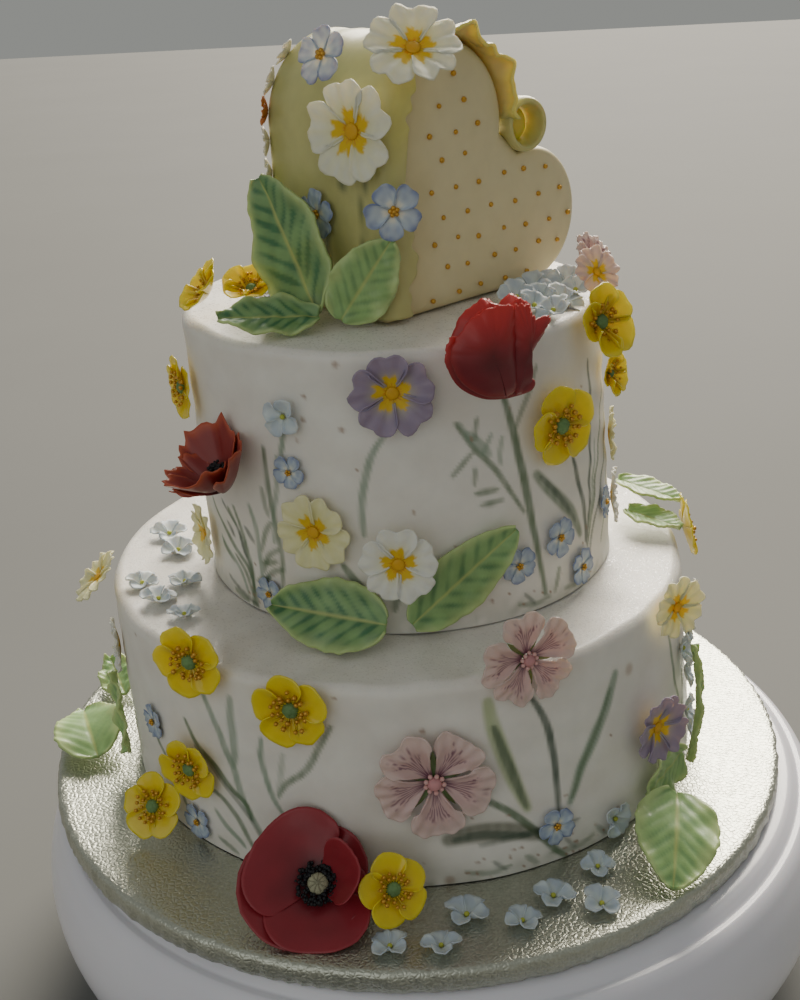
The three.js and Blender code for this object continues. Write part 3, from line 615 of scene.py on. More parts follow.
def brush(tier, paint, azimuths, heights, colour, width, cover, line):
    """Lays one stroke on a tier's wall; `line` is a list of (azimuth, height)."""
    radius = tier["foot"][2]
    x, y = np.radians(azimuths) * radius, heights
    path = eased([(np.radians(a) * radius, h) for a, h in line], 5)
    near = (x > path[:, 0].min() - width * 2) & (x < path[:, 0].max() + width * 2)
    near &= (y > path[:, 1].min() - width * 2) & (y < path[:, 1].max() + width * 2)
    px, py = x[near], y[near]
    least, along = np.full(px.shape, 1e9), np.zeros(px.shape)
    for k, (a, b) in enumerate(zip(path, path[1:])):
        run = b - a
        share = np.clip(((px - a[0]) * run[0] + (py - a[1]) * run[1]) / max(run @ run, 1e-9), 0, 1)
        gap = np.hypot(px - a[0] - share * run[0], py - a[1] - share * run[1])
        closer = gap < least
        least[closer], along[closer] = gap[closer], ((k + share) / (len(path) - 1))[closer]
    half = width / 2 * np.sin(np.pi * np.clip(0.12 + 0.8 * along, 0, 1)) ** 0.6
    soft = 0.45 + 0.2 * width
    amount = cover * (1 - smooth(half - soft * 0.4, half + soft, least))
    amount *= 0.85 + 0.6 / (2 + width) * rumple(px, py * 0.4, 5, len(line) + int(abs(line[0][0])))
    paint[near] = mingle(paint[near], colour, np.clip(amount, 0, 1))


print("brush ready")

# %% The strokes on the bottom tier
BOTTOM_STROKES = [
    (SAGE, 3.2, 0.85, [(-38, 80), (-36, 68), (-34, 55), (-32.5, 42), (-31, 28), (-28, 15)]),
    (SAGE, 3.6, 0.8, [(-31.5, 81), (-32, 69), (-32, 56), (-33, 47)]),
    (MOSS, 2.6, 0.95, [(-44, 61), (-42, 53), (-38, 45), (-34, 36), (-31, 30), (-30.5, 23)]),
    (DEEP_GREEN, 2.2, 0.6, [(-42, 50), (-38, 42), (-34, 33), (-31, 24), (-28, 12)]),
    (MOSS, 2.6, 0.85, [(-40, 31), (-37, 29), (-34, 22), (-32, 14), (-31, 8)]),
    (SAGE, 2.4, 0.9, [(-39, 20), (-37, 15), (-34, 10), (-33, 7)]),
    (MOSS, 2.4, 0.7, [(-39, 6), (-37, 4), (-35, 2)]),
    (SAGE, 2.4, 0.9, [(-26, 65), (-26.5, 55), (-26, 46), (-25, 37), (-23.5, 30)]),
    (MOSS, 2.4, 0.8, [(-12.5, 76), (-15, 66), (-18, 54), (-22, 46), (-24, 39)]),
    (SAGE, 2.4, 0.45, [(-22, 60), (-23, 49), (-24, 38)]),
    (DEEP_GREEN, 3.0, 0.95, [(22.6, 80), (24.5, 70), (25.6, 58), (26, 44), (26, 24)]),
    (FRESH, 6.2, 0.7, [(14.6, 83), (15, 72), (16.4, 58), (18, 44), (20, 30)]),
    (DEEP_GREEN, 3.6, 0.75, [(15.2, 71), (16.6, 58), (18, 46), (19.8, 31)]),
    (SAGE, 5.2, 0.9, [(41, 76), (38.5, 64), (35, 52), (31.5, 40), (28.5, 26)]),
    (MOSS, 2.2, 0.7, [(39.5, 70), (36, 56), (32, 42), (29, 28)]),
    (MOSS, 3.0, 0.95, [(11, 41), (16, 32), (19, 24), (22, 15), (25, 5), (27, 0)]),
    (OLIVE, 8.2, 0.8, [(5.5, 21.5), (9, 23), (13, 22.5), (18, 19.5), (22, 15)]),
    (DEEP_GREEN, 3.2, 0.7, [(6.5, 21), (12, 21.5), (20, 16.5)]),
    (MOSS, 2.4, 0.85, [(61, 72), (62.5, 58), (64, 44), (65, 30), (64, 16)]),
    (MOSS, 2.4, 0.85, [(75, 58), (72, 46), (69, 34), (67, 20)]),
    (SAGE, 3.0, 0.7, [(-76, 70), (-77, 56), (-75, 40)]),
    (MOSS, 2.6, 0.85, [(-57, 44), (-54, 34), (-50, 22), (-47, 12)]),
    (MOSS, 2.6, 0.9, [(160, 60), (164, 44), (166, 28), (165, 12), (166, 1)]),
    (SAGE, 4.6, 0.8, [(148, 60), (151, 42), (156, 24), (162, 6)]),
    (SAGE, 4.6, 0.8, [(187, 66), (184, 46), (181, 26), (180, 6)]),
    (MOSS, 2.4, 0.8, [(128, 56), (133, 40), (140, 24), (146, 8)]),
    (SAGE, 3.4, 0.8, [(108, 66), (110, 48), (113, 30), (118, 10)]),
    (MOSS, 2.6, 0.8, [(91, 84), (93, 66), (96, 46), (100, 24), (103, 4)]),
    (MOSS, 2.6, 0.8, [(-100, 70), (-97, 50), (-96, 30), (-97, 8)]),
    (SAGE, 4.4, 0.8, [(-118, 66), (-114, 48), (-111, 28), (-110, 6)]),
    (SAGE, 4.4, 0.8, [(-134, 50), (-136, 34), (-139, 14)]),
    (MOSS, 2.6, 0.8, [(-150, 62), (-147, 44), (-143, 24), (-141, 6)]),
    (MOSS, 2.2, 0.55, [(8, 5), (12, 3), (16, 4.5)]), (DEEP_GREEN, 1.8, 0.5, [(13, 8), (15, 3)]),
    (MOSS, 2.4, 0.55, [(19, 7), (21, 2)]), (MOSS, 2.4, 0.5, [(24, 5), (29, 3), (33, 5)]),
    (DEEP_GREEN, 1.8, 0.5, [(27, 9), (29, 3)]), (MOSS, 2.2, 0.5, [(34, 8), (36, 2.5)]),
    (DEEP_GREEN, 2.4, 0.55, [(11, 17), (17, 17.5), (24, 17), (30, 16)]),
]
print(len(BOTTOM_STROKES), "strokes on the bottom tier")

# %% The strokes on the middle tier
MIDDLE_STROKES = [
    (SAGE, 2.6, 0.85, [(-4, 88), (-7, 81), (-9, 72), (-10.5, 62), (-11, 52), (-11, 45)]),
    (MOSS, 3.4, 0.85, [(-17, 31), (-14, 23), (-11, 16), (-8, 9)]),
    (MOSS, 3.2, 0.7, [(-3, 26), (-4, 19), (-5, 11)]),
    (SAGE, 2.2, 0.9, [(-30, 88), (-31, 81), (-32, 76)]),
    (MOSS, 2.4, 0.8, [(-37, 79), (-37, 68), (-37, 58), (-36, 47), (-35, 30), (-36, 14)]),
    (SAGE, 2.2, 0.7, [(-33, 76), (-34, 64), (-36, 50), (-37, 36)]),
    (MOSS, 2.2, 0.6, [(-39.5, 60), (-39, 53), (-38, 48)]),
    (MOSS, 2.2, 0.9, [(-65, 43), (-61, 34), (-54, 26), (-49, 19), (-47, 10), (-46.5, 1)]),
    (DEEP_GREEN, 1.8, 0.75, [(-58, 46), (-53, 38), (-50, 30), (-47.5, 18), (-47, 8)]),
    (MOSS, 2.2, 0.9, [(-52, 46), (-50, 36), (-48, 27), (-47, 14), (-48, 1)]),
    (SAGE, 2.0, 0.8, [(-62, 26), (-56, 20), (-52, 13), (-50, 5)]),
    (SAGE, 2.4, 0.8, [(-45, 50), (-43.5, 42), (-43, 30), (-43, 20), (-44, 8)]),
    (MOSS, 2.2, 0.7, [(-37.5, 45), (-40, 39), (-42, 30)]),
    (MOSS, 2.2, 0.7, [(-36, 33), (-40, 28), (-42, 20)]),
    (DEEP_GREEN, 2.0, 0.8, [(-57, 36), (-54, 31)]), (MOSS, 2.4, 0.8, [(-61, 24), (-56, 18)]),
    (MOSS, 2.2, 0.8, [(-55, 44), (-52.5, 37)]), (DEEP_GREEN, 2.2, 0.7, [(-48, 38), (-45, 33)]),
    (MOSS, 2.4, 0.8, [(-42, 24), (-37, 27)]), (MOSS, 2.2, 0.8, [(-45, 14), (-40, 18)]),
    (DEEP_GREEN, 1.8, 0.7, [(-60, 8), (-53, 4), (-46, 1.5)]), (MOSS, 2.0, 0.7, [(-57, 3), (-50, 1.5)]),
    (MOSS, 2.0, 0.7, [(-42, 2), (-36, 1.5)]), (MOSS, 2.0, 0.8, [(-54, 22), (-50, 15), (-48, 6)]),
    (DEEP_GREEN, 1.6, 0.7, [(-51, 34), (-49, 24)]), (MOSS, 2.0, 0.6, [(28, 5), (33, 3), (38, 4)]),
    (DEEP_GREEN, 1.6, 0.6, [(30, 9), (33, 3)]), (MOSS, 2.0, 0.6, [(44, 4), (50, 3), (57, 5)]),
    (MOSS, 2.2, 0.7, [(-35, 24), (-39, 21), (-43, 14)]),
    (MOSS, 3.4, 0.95, [(27, 99), (29, 86), (30.4, 72), (32, 58), (33, 46), (34.5, 30), (36.5, 6)]),
    (MOSS, 2.2, 0.8, [(14, 91), (18, 80), (23, 70), (27, 59), (31, 47)]),
    (SAGE, 4.0, 0.7, [(17, 86), (20, 80), (22, 76)]),
    (MOSS, 1.6, 0.7, [(19.5, 92), (18.6, 83)]),
    (MOSS, 1.9, 0.75, [(17.5, 78), (14.5, 73), (12, 69)]),
    (MOSS, 1.7, 0.65, [(18, 71), (17.6, 64)]),
    (MOSS, 2.2, 0.75, [(18, 60), (21, 60), (24, 60)]),
    (MOSS, 2.0, 0.7, [(19, 54.5), (22, 54.6), (25, 55)]),
    (SAGE, 2.0, 0.6, [(26, 82), (25, 76), (25, 71)]),
    (SAGE, 1.8, 0.6, [(23, 84), (21.5, 80), (20, 76)]),
    (SAGE, 1.8, 0.6, [(15, 91), (17, 83)]),
    (MOSS, 2.2, 0.6, [(37.5, 108), (35, 99), (32, 91), (30, 84)]),
    (DEEP_GREEN, 2.6, 0.9, [(50, 62), (51.6, 54), (53.4, 44), (55, 30), (55, 20)]),
    (MOSS, 5.4, 0.8, [(35.5, 62), (39.5, 54), (44.5, 45), (49, 36), (52, 25)]),
    (DEEP_GREEN, 2.2, 0.6, [(37, 60), (43, 49), (50, 33)]),
    (DEEP_GREEN, 2.2, 0.9, [(61, 100), (61, 90), (60.5, 78), (60, 60), (58, 38), (55.5, 18)]),
    (MOSS, 1.8, 0.85, [(73, 84), (69, 66), (64, 48), (59, 30), (56, 16)]),
    (DEEP_GREEN, 1.8, 0.8, [(79, 78), (75, 56), (67, 38), (60, 24), (57, 12)]),
    (MOSS, 1.8, 0.75, [(84, 70), (80, 50), (73, 30), (66, 12)]),
    (SAGE, 1.8, 0.7, [(64, 62), (61, 44), (57, 26)]),
    (MOSS, 2.2, 0.7, [(42, 15), (41, 10), (40, 5)]),
    (SAGE, 4.0, 0.8, [(-99, 90), (-96, 70), (-92, 44), (-90, 20), (-90, 2)]),
    (MOSS, 2.4, 0.8, [(-80, 84), (-82, 64), (-84, 44), (-84, 22), (-83, 4)]),
    (MOSS, 2.4, 0.8, [(178, 68), (176, 50), (172, 32), (170, 10)]),
    (SAGE, 4.2, 0.8, [(196, 76), (192, 54), (187, 30), (184, 6)]),
    (MOSS, 2.4, 0.8, [(-150, 36), (-153, 24), (-157, 8)]),
    (SAGE, 3.6, 0.8, [(150, 60), (154, 40), (160, 18), (164, 2)]),
    (MOSS, 2.2, 0.8, [(165, 55), (163, 40), (163, 20), (165, 4)]),
    (SAGE, 3.6, 0.8, [(112, 80), (116, 56), (121, 30), (124, 6)]),
    (MOSS, 2.4, 0.8, [(100, 64), (105, 44), (112, 22), (116, 4)]),
    (SAGE, 3.4, 0.8, [(-122, 78), (-126, 52), (-129, 26), (-130, 4)]),
    (MOSS, 2.2, 0.8, [(-112, 56), (-118, 34), (-122, 10)]),
]
print(len(MIDDLE_STROKES), "strokes on the middle tier")

# %% [markdown]
# A tier is a grid that starts in the middle of its top, rolls over a rounded edge and runs down the
# wall. The wall is smoothed by hand, so it goes in and out by half a millimetre. Green dust has
# gathered along the foot, and a few brown crumbs show through the cover.

# %% The two tiers
ICING, SHADE_ICING, CRUMB = tint(0xf0ede6), tint(0xe9e4dc), tint(0x9a7458)
EDGE_ROUNDING = 5
WALL_STEP = 1.15
LEVEL_ROWS, CORNER_ROWS, GLITTER_ROWS = 26, 9, 31
WALL_SWELL, TOP_SWELL = 0.42, 0.35
DUST_HEIGHT = 13


def tier_cover(tier, strokes, specks, dust, seed):
    """The sugarpaste over one tier, with its painting."""
    height, radius = tier["height"], tier["foot"][2]
    azimuths = np.degrees(np.arange(0, 2 * np.pi, WALL_STEP / radius)) - 180
    corner = np.radians(np.linspace(90, 0, CORNER_ROWS))
    down = np.linspace(EDGE_ROUNDING + WALL_STEP, height, int((height - EDGE_ROUNDING) / WALL_STEP))
    fall = [*([0] * LEVEL_ROWS), *(EDGE_ROUNDING * (1 - np.sin(corner))), *down]
    level = np.linspace(radius - 1, EDGE_ROUNDING + 1, LEVEL_ROWS)
    inset = np.concatenate([level, EDGE_ROUNDING * (1 - np.cos(corner)), 0 * down])[:, None]
    heights, angles = np.meshgrid(height - np.array(fall), azimuths, indexing="ij")
    points = wall_point(tier, angles, heights, -inset)
    x, y = np.radians(angles) * radius, heights
    on_the_wall = smooth(6, 0, inset) * np.ones_like(x)
    swell = WALL_SWELL * (rumple(points[..., 0], points[..., 1] + 3 * heights, 60, seed) - 1) * on_the_wall
    outward = np.stack([np.sin(np.radians(angles)), -np.cos(np.radians(angles)), np.zeros_like(x)], -1)
    points = points + outward * swell[..., None]
    sag = TOP_SWELL * (rumple(points[..., 0], points[..., 1], 34, seed + 1) - 1)
    points[..., 2] += sag * (1 - on_the_wall)
    paint = mingle(ICING, SHADE_ICING, np.clip(0.5 + 0.5 * rumple(x, y, 30, seed + 2), 0, 1))
    wall = heights < height - EDGE_ROUNDING + 1
    patches = 0.6 * rumple(x, y, 9, seed + 3) * rumple(x, y, 23, seed + 4)
    low = smooth(DUST_HEIGHT, 0, heights) * wall * np.clip(0.35 + patches, 0, 1)
    paint = mingle(paint, MOSS, 0.55 * low * dust(angles))
    for colour, width, cover, line in strokes:
        brush(tier, paint, angles, np.where(wall, heights, -99), colour, width, cover, line)
    for azimuth, speck_height, size in specks:
        gap = np.hypot(x - np.radians(azimuth) * radius, y - speck_height)
        paint = mingle(paint, CRUMB, 0.9 / (0.8 + 0.3 * size) * smooth(size, size * 0.3, gap))
    cover = Piece()
    cover.grid(points, paint, 0, around=True)
    rows, columns = points.shape[:2]
    on_top = (np.arange(rows - 1) < GLITTER_ROWS)[:, None] * np.ones(columns, int)
    cover.finish = on_top.ravel().astype(int).tolist()
    centre = points[:1].mean(axis=1)
    fan = [[0, k + 1, (k + 1) % columns + 1] for k in range(columns)]
    cover.add(np.vstack([centre, points[0]]), ICING, fan, 1)
    return cover


def dark_specks(count, seed, azimuths, heights):
    """Crumbs of about a millimetre, strewn over a part of the wall."""
    draw = np.random.default_rng(seed)
    return [(draw.uniform(*azimuths), draw.uniform(*heights), draw.uniform(0.7, 1.3)) for _ in range(count)]


def bottom_dust(azimuth):
    """How much green dust lies at a tier's foot, round the wall."""
    return 0.35 + 0.65 * smooth(-6, 6, azimuth) * smooth(60, 30, azimuth)


def middle_dust(azimuth):
    return 0.5 + 0.5 * (np.abs(azimuth) > 15)


BOTTOM_SPECKS = [
    (3, 74, 1.8), (45, 74, 4), (5, 2, 3.2), *dark_specks(26, 5, (0, 42), (0, 12)),
    *dark_specks(14, 6, (-60, 70), (0, 90)),
]
MIDDLE_SPECKS = [
    (-23, 104, 1.5), (-24, 94, 1.6), (-26, 85, 1.1), (-14, 91, 1.8), (-14, 118, 2.0), (-9, 101, 1.2),
    (2, 55, 1.1), (-11, 74, 1.0), *dark_specks(12, 8, (-50, -36), (2, 22)),
    *dark_specks(16, 9, (20, 62), (0, 12)), *dark_specks(12, 10, (-40, 60), (4, 110)),
]
bottom = tier_cover(BOTTOM, BOTTOM_STROKES, BOTTOM_SPECKS, bottom_dust, 11)
middle = tier_cover(MIDDLE, MIDDLE_STROKES, MIDDLE_SPECKS, middle_dust, 21)
serve("bottom_tier_icing", bottom, [icing, glittered], "tier_bottom")
serve("middle_tier_icing", middle, [icing, glittered], "tier_middle")
print("tiers", len(bottom.faces), "and", len(middle.faces), "faces")

# %% [markdown]
# Petals are rolled thin, cut with a cutter and dried in a shallow dish, so each is a small sheet
# that is nearly flat across, cupped along and a little wavy at its edge. One function shapes all the
# flat flowers: a petal is a fan of lines from the flower's middle, and the fan's edge decides
# whether it is the broad petal of a buttercup or the notched one of a primrose.

# %% One petal
PETAL_ROWS, PETAL_COLUMNS = 13, 15


def petal(
    radius, half_angle, valley=0.5, roundness=2.6, notch=0.0, notch_width=0.32, narrow=1.0, cup=0.3,
    curl=0.0, dish=0.0, tears=0.0, ruffle=0.3, waves=3, overlap=0.5, spoon=1.0, base=0.12,
    rows=PETAL_ROWS, columns=PETAL_COLUMNS, seed=0,
):
    """Points of a petal along +Y, in millimetres, with the share along it and across it at each.

    The edge falls to `valley` at the petal's sides, `roundness` makes it broad, and `notch` and `tears`
    cut into it. `narrow` draws in the foot. The petal rises by `cup`, its tip bends back by `curl`, its
    sides rise by `dish`, its edge waves by `ruffle`, and one side lies over the next by `overlap`.
    """
    draw = np.random.default_rng(seed)
    across = np.sin(np.linspace(1, -1, columns) * np.pi / 2)[None, :]
    along = np.linspace(base, 1, rows)[:, None]
    edge = valley + (1 - valley) * np.sqrt(np.clip(1 - np.abs(across) ** roundness, 0, 1))
    edge = edge - notch * np.exp(-((across / notch_width) ** 2))
    edge = edge * (1 + 0.025 * np.sin(across * draw.uniform(4, 9) + draw.uniform(0, 6)))
    pace, phase = draw.uniform(9, 13), draw.uniform(0, 6)
    edge = edge * (1 - tears * np.abs(np.sin(across * pace + 2 * np.sin(3 * across + phase))))
    angle = np.radians(half_angle) * across * (narrow + (1 - narrow) * along)
    reach = radius * along * blend(1, edge, smooth(0, 0.5, along))
    up = blend(reach / radius, along, spoon)
    rise = radius * (cup * up**1.7 - curl * smooth(0.6, 1, along) ** 2 + dish * across**2 * along)
    frill = ruffle * np.sin(waves * np.pi * across + draw.uniform(0, 6)) * along**3
    rise = rise + frill + overlap * across * along
    points = np.stack([reach * np.sin(angle), reach * np.cos(angle), rise + 0 * across], -1)
    return points, along + 0 * across, across + 0 * along


def turned(points, degrees):
    """Points turned about Z."""
    c, s = np.cos(np.radians(degrees)), np.sin(np.radians(degrees))
    x, y, z = points[..., 0], points[..., 1], points[..., 2]
    return np.stack([x * c - y * s, x * s + y * c, z], -1)


def petal_ring(piece, count, radius, paint, lift=1.3, thickness=0.9, finish=0, seed=0, **form):
    """A ring of petals, each a little different in size, cup and place."""
    draw = np.random.default_rng(seed)
    cup = form.pop("cup", 0.3)
    for k in range(count):
        points, along, across = petal(
            radius * draw.uniform(0.96, 1.04), cup=cup * draw.uniform(0.75, 1.2), seed=seed * 31 + k, **form
        )
        points[..., 2] += lift
        points = turned(points, 360 * k / count + draw.uniform(-2.5, 2.5))
        body = thickness * blend(1, 0.55, along)
        piece.sheet(points, body, paint(along, across, seed + k), finish)
    return piece


def rod(piece, start, end, radius, paint, finish=0, sides=5):
    """A thin thread from one point to another."""
    start, end = np.asarray(start, float), np.asarray(end, float)
    run = (end - start) / np.linalg.norm(end - start)
    side = np.cross(run, UP if abs(run[2]) < 0.9 else BACKWARD)
    side /= np.linalg.norm(side)
    turn = np.linspace(0, 2 * np.pi, sides, endpoint=False)[:, None]
    ring = radius * (np.cos(turn) * side + np.sin(turn) * np.cross(run, side))
    piece.grid(np.stack([end + ring * 0.8, start + ring]), paint, finish, around=True)


print("a petal has", (PETAL_ROWS - 1) * (PETAL_COLUMNS - 1), "faces on each side")

# %% [markdown]
# A buttercup has five broad petals that overlap, a green seed head and two rings of stamens. The
# yellow is mixed into the paste and glazed, a little deeper towards the middle.

# %% Buttercups
BUTTER, BUTTER_DEEP, BUTTER_EDGE = tint(0xedce18), tint(0xc08814), tint(0xf1dc3a)
SEED_GREEN, GOLD = tint(0x6f935a), tint(0xe0b040)


def buttercup_paint(along, across, seed):
    dust = 0.5 + 0.3 * rumple(along * 9 + seed, across * 5, 2.2, seed % 9)
    inner = smooth(0.66, 0.36, along + 0.1 * np.sin(5 * across + seed))
    paint = mingle(BUTTER, BUTTER_DEEP, 0.34 * inner * dust)
    # Painted shade: each petal's sides are darkened towards its foot, where it lies under or over the next
    # petal.
    paint = mingle(paint, BUTTER_DEEP, 0.5 * smooth(0.84, 0.98, np.abs(across)) * smooth(1.0, 0.6, along))
    return mingle(paint, BUTTER_EDGE, 0.6 * smooth(0.8, 1, along))


def stamens(piece, count, near, far, heights, size, seed):
    """Gold beads on fine yellow threads round a flower's middle."""
    draw = np.random.default_rng(seed)
    for k in range(count):
        angle = 2 * np.pi * (k + draw.uniform(-0.3, 0.3)) / count
        reach, height = draw.uniform(near, far), draw.uniform(*heights)
        tip = np.array((reach * np.cos(angle), reach * np.sin(angle), height))
        rod(piece, (0.4 * tip[0], 0.4 * tip[1], height * 0.5), tip, size * 0.22, BUTTER, 0, 4)
        piece.ball(tip, size * draw.uniform(0.85, 1.15), GOLD, 2, 1)


def buttercup(radius, seed, cup=0.2):
    flower = Piece()
    petal_ring(
        flower, 5, radius, buttercup_paint, seed=seed, half_angle=43, valley=0.58, roundness=2.5, cup=cup,
        curl=0.05, dish=0.03, ruffle=0.3, overlap=0.85,
    )
    middle_height = 2.1 + radius * 0.04
    for k in range(7):
        reach, angle = 0.075 * radius * (k > 0), k * np.pi / 3
        lump = (reach * np.cos(angle), reach * np.sin(angle), middle_height - 0.5 * (k > 0))
        flower.ball(lump, np.array((0.14, 0.14, 0.12)) * radius, SEED_GREEN, 1, 3)
    inner, outer = (middle_height + 0.4, middle_height + 1.5), (middle_height + 0.9, middle_height + 2.4)
    stamens(flower, 10, radius * 0.29, radius * 0.36, inner, radius * 0.068, seed)
    stamens(flower, 13, radius * 0.42, radius * 0.55, outer, radius * 0.068, seed + 1)
    return flower


BUTTERCUPS = [
    (16, on_wall(BOTTOM, -37.1, 97.5, 16, spin=20, turn=14)),
    (16.6, on_wall(BOTTOM, -18.8, 83.5, 16.6, spin=8)),
    (14.8, on_wall(BOTTOM, -42.1, 41, 14.8, spin=30, turn=10)),
    (14.6, on_level(-125.5, -80, 126.4, -52, 22, 12)),
    (14.8, on_level(-20.6, -143, 126.4, 24, 30, 5)),
    (17.2, on_wall(MIDDLE, 42.5, 81.4, 17.2, spin=16, turn=-7)),
    (15.6, on_wall(MIDDLE, 61.9, 117, 15.6, turn=-14)),
    (10, on_wall(MIDDLE, 74, 88, 10, turn=-10, spin=20)),
    (14.2, on_wall(MIDDLE, -73, 92, 14.2, spin=10, turn=10)),
    (12.6, on_level(-91, -15, 342.4, -35, 28)),
    (12, on_level(-74, -3, 339.6, -15, 45, 24)),
    (15.2, on_wall(BOTTOM, 90, 94.5, 15.2, tip=12, spin=30)),
]
CUPPED = (7, 8, 10, 11)
TURNED_TOWARDS = {4: (-22, 30), 7: (38, 16), 8: (52, 6), 10: (-70, 40), 11: (-20, 62)}
NEARER_THE_HEART = np.array((4.5, 0, -2))
for number, (radius, place) in enumerate(BUTTERCUPS, 1):
    if number in TURNED_TOWARDS:
        shift = NEARER_THE_HEART * (number in (10, 11))
        place = seat(place[:3, 3] + shift, direction(*TURNED_TOWARDS[number]), UP, 12)
    name = f"buttercup_{number}"
    flower = buttercup(radius, 100 + number, 0.5 if number in CUPPED else 0.2)
    serve(f"{name}_sugar", flower, [glazed_paste, seed_paste, gold_lustre], name, place)
print(len(BUTTERCUPS), "buttercups of", len(flower.faces), "faces")

# %% [markdown]
# A primrose has five heart-shaped petals. Its yellow star is brushed on with dust: one soft ray down
# the middle of each petal, orange where the rays meet.

# %% Primroses
WHITE, CREAM, VIOLET, PINK = tint(0xedebdc), tint(0xece6ae), tint(0x9a8da6), tint(0xdb9fa0)
VIOLET_DEEP, STAR, STAR_CORE, THROAT = tint(0x7d7292), tint(0xe6bd1e), tint(0xd28616), tint(0xdcd792)


def primrose_paint(colour, edge, reach):
    """The painter of one primrose: its paste, its edge and how far its star's rays reach."""
    def paint_petal(along, across, seed):
        ragged = 0.05 * np.sin(7 * across + seed) + 0.02 * np.sin(19 * across + 2 * seed)
        ray = smooth(1.05, 0.95, (along + ragged) / reach + 0.42 * np.abs(across) ** 2.2)
        blot = 0.4 * rumple(along * 8, across * 4 + seed, 1.7, seed % 5)
        core = smooth(1.0, 0.5, along / (0.5 * reach) + blot)
        folds = 0.5 + 0.5 * np.cos(across * 14 + np.sin(4 * along + seed))
        paint = mingle(colour, edge, 0.3 * folds * smooth(0.4, 0.9, along))
        paint = mingle(paint, THROAT, 0.35 * smooth(0.75, 0.3, along))
        return mingle(mingle(paint, STAR, ray), STAR_CORE, 0.85 * core)

    return paint_petal


def primrose(radius, seed, colour, edge, cup=0.18, reach=0.47):
    flower = Piece()
    petal_ring(
        flower, 5, radius, primrose_paint(colour, edge, reach), seed=seed, half_angle=39, valley=0.6,
        roundness=3.0, notch=0.14, notch_width=0.24, narrow=0.95, cup=cup, curl=0.06, dish=0.03, ruffle=0.8,
        overlap=0.5, rows=17, columns=19,
    )
    flower.ball((0, 0, 1.7), np.array((0.16, 0.16, 0.035)) * radius, blend(STAR, STAR_CORE, 0.4))
    return flower


PRIMROSES = [
    (VIOLET, 16.4, on_wall(BOTTOM, 49.7, 42, 16.4, turn=-12, spin=20)),
    (VIOLET, 17.4, on_wall(MIDDLE, -0.8, 106.8, 17.4, spin=6)),
    (CREAM, 17.2, on_wall(MIDDLE, -23.7, 45.8, 17.2, spin=34)),
    (WHITE, 17.4, on_wall(MIDDLE, -2.6, 37, 17.4, out=8)),
    (CREAM, 14.6, on_wall(BOTTOM, 57.9, 91.8, 14.6, turn=-24, spin=10)),
    (WHITE, 14.2, on_wall(BOTTOM, 75, 70, 14.2, turn=-6)),
    (CREAM, 13, on_wall(MIDDLE, 80, 56, 13, spin=14)),
    (WHITE, 13, on_wall(MIDDLE, 80, 25, 13)),
    (CREAM, 14.6, on_wall(MIDDLE, -72, 22, 14.6, turn=8, spin=8)),
    (CREAM, 11, on_wall(MIDDLE, -97, 42, 11, spin=30)),
    (CREAM, 14, on_wall(BOTTOM, -74.5, 100, 14, tip=44, out=-5)),
    (WHITE, 13.6, on_wall(BOTTOM, -74.7, 65, 13.6, spin=20)),
]
print(len(PRIMROSES), "primroses on the walls")

# %% [markdown]
# The heart stands on the middle tier, turned a little to the right. What sits on it is placed from
# the lower left corner of its face: along the face, up, and out of the face.

# %% Places on the heart, and the last primroses
HEART_CORNER, HEART_AZIMUTH = np.array((-11.4, -41.8, MIDDLE["z"] + MIDDLE["height"] + 0.3)), 42.5
HEART_ALONG = np.array((np.cos(np.radians(HEART_AZIMUTH)), np.sin(np.radians(HEART_AZIMUTH)), 0))
HEART_FACE = direction(HEART_AZIMUTH, 0)


def heart_point(u, v, w):
    """u runs along the heart's face to the right, v upwards, w out of the face."""
    return HEART_CORNER + u * HEART_ALONG + v * UP + w * HEART_FACE


def on_heart(u, v, w, azimuth, elevation, spin=0):
    """A flower's seat on the heart, facing where azimuth and elevation say."""
    return seat(heart_point(u, v, w), direction(azimuth, elevation), UP, spin)


PRIMROSES += [
    (WHITE, 19.5, on_heart(12, 107, 9, 6, 46, -6)),
    (WHITE, 21.3, on_heart(-1.5, 77.4, -12, -38, 3, 12)),
    (WHITE, 11.5, on_level(78, -14, 341, 30, 30)),
    (CREAM, 16, on_wall(MIDDLE, 178, 84, 16, spin=18)),
]
PRIMROSE_KINDS = {
    tuple(WHITE): ("primrose_white", tint(0xdfe3ea)), tuple(CREAM): ("primrose_cream", tint(0xf6f3d8)),
    tuple(VIOLET): ("primrose_violet", VIOLET_DEEP),
}
ON_THE_HEART, BLUSHED = (13, 14), 15
for number, (colour, radius, place) in enumerate(PRIMROSES, 1):
    slot, edge = PRIMROSE_KINDS[tuple(colour)]
    name = f"primrose_{number}"
    if number in ON_THE_HEART:
        colour = blend(WHITE, CREAM, 0.45)
    elif number == BLUSHED:
        colour, edge = blend(WHITE, PINK, 0.6), PINK
    flower = primrose(radius, 200 + number, colour, edge, 0.3 if number < 3 else 0.18)
    serve(f"{name}_sugar", flower, [petal_paste], name, place)
print(len(PRIMROSES), "primroses")

# %% [markdown]
# A mallow's petals are narrow at the foot and wide at the notched tip, so green shows between them.
# Each petal was pressed on a veiner, brushed with plum dust along the veins and glazed. The veins
# fork towards the edge, so they are worked out from the share along and across the petal.

# %% Mallows
MALLOW, MALLOW_PALE, PLUM, PEARL = tint(0xd2b0ad), tint(0xe3cbc4), tint(0x6c3d58), tint(0xdba9a6)
VEINS = 7
MALLOW_GRID, SMALL_MALLOW_GRID = (33, 37), (22, 25)


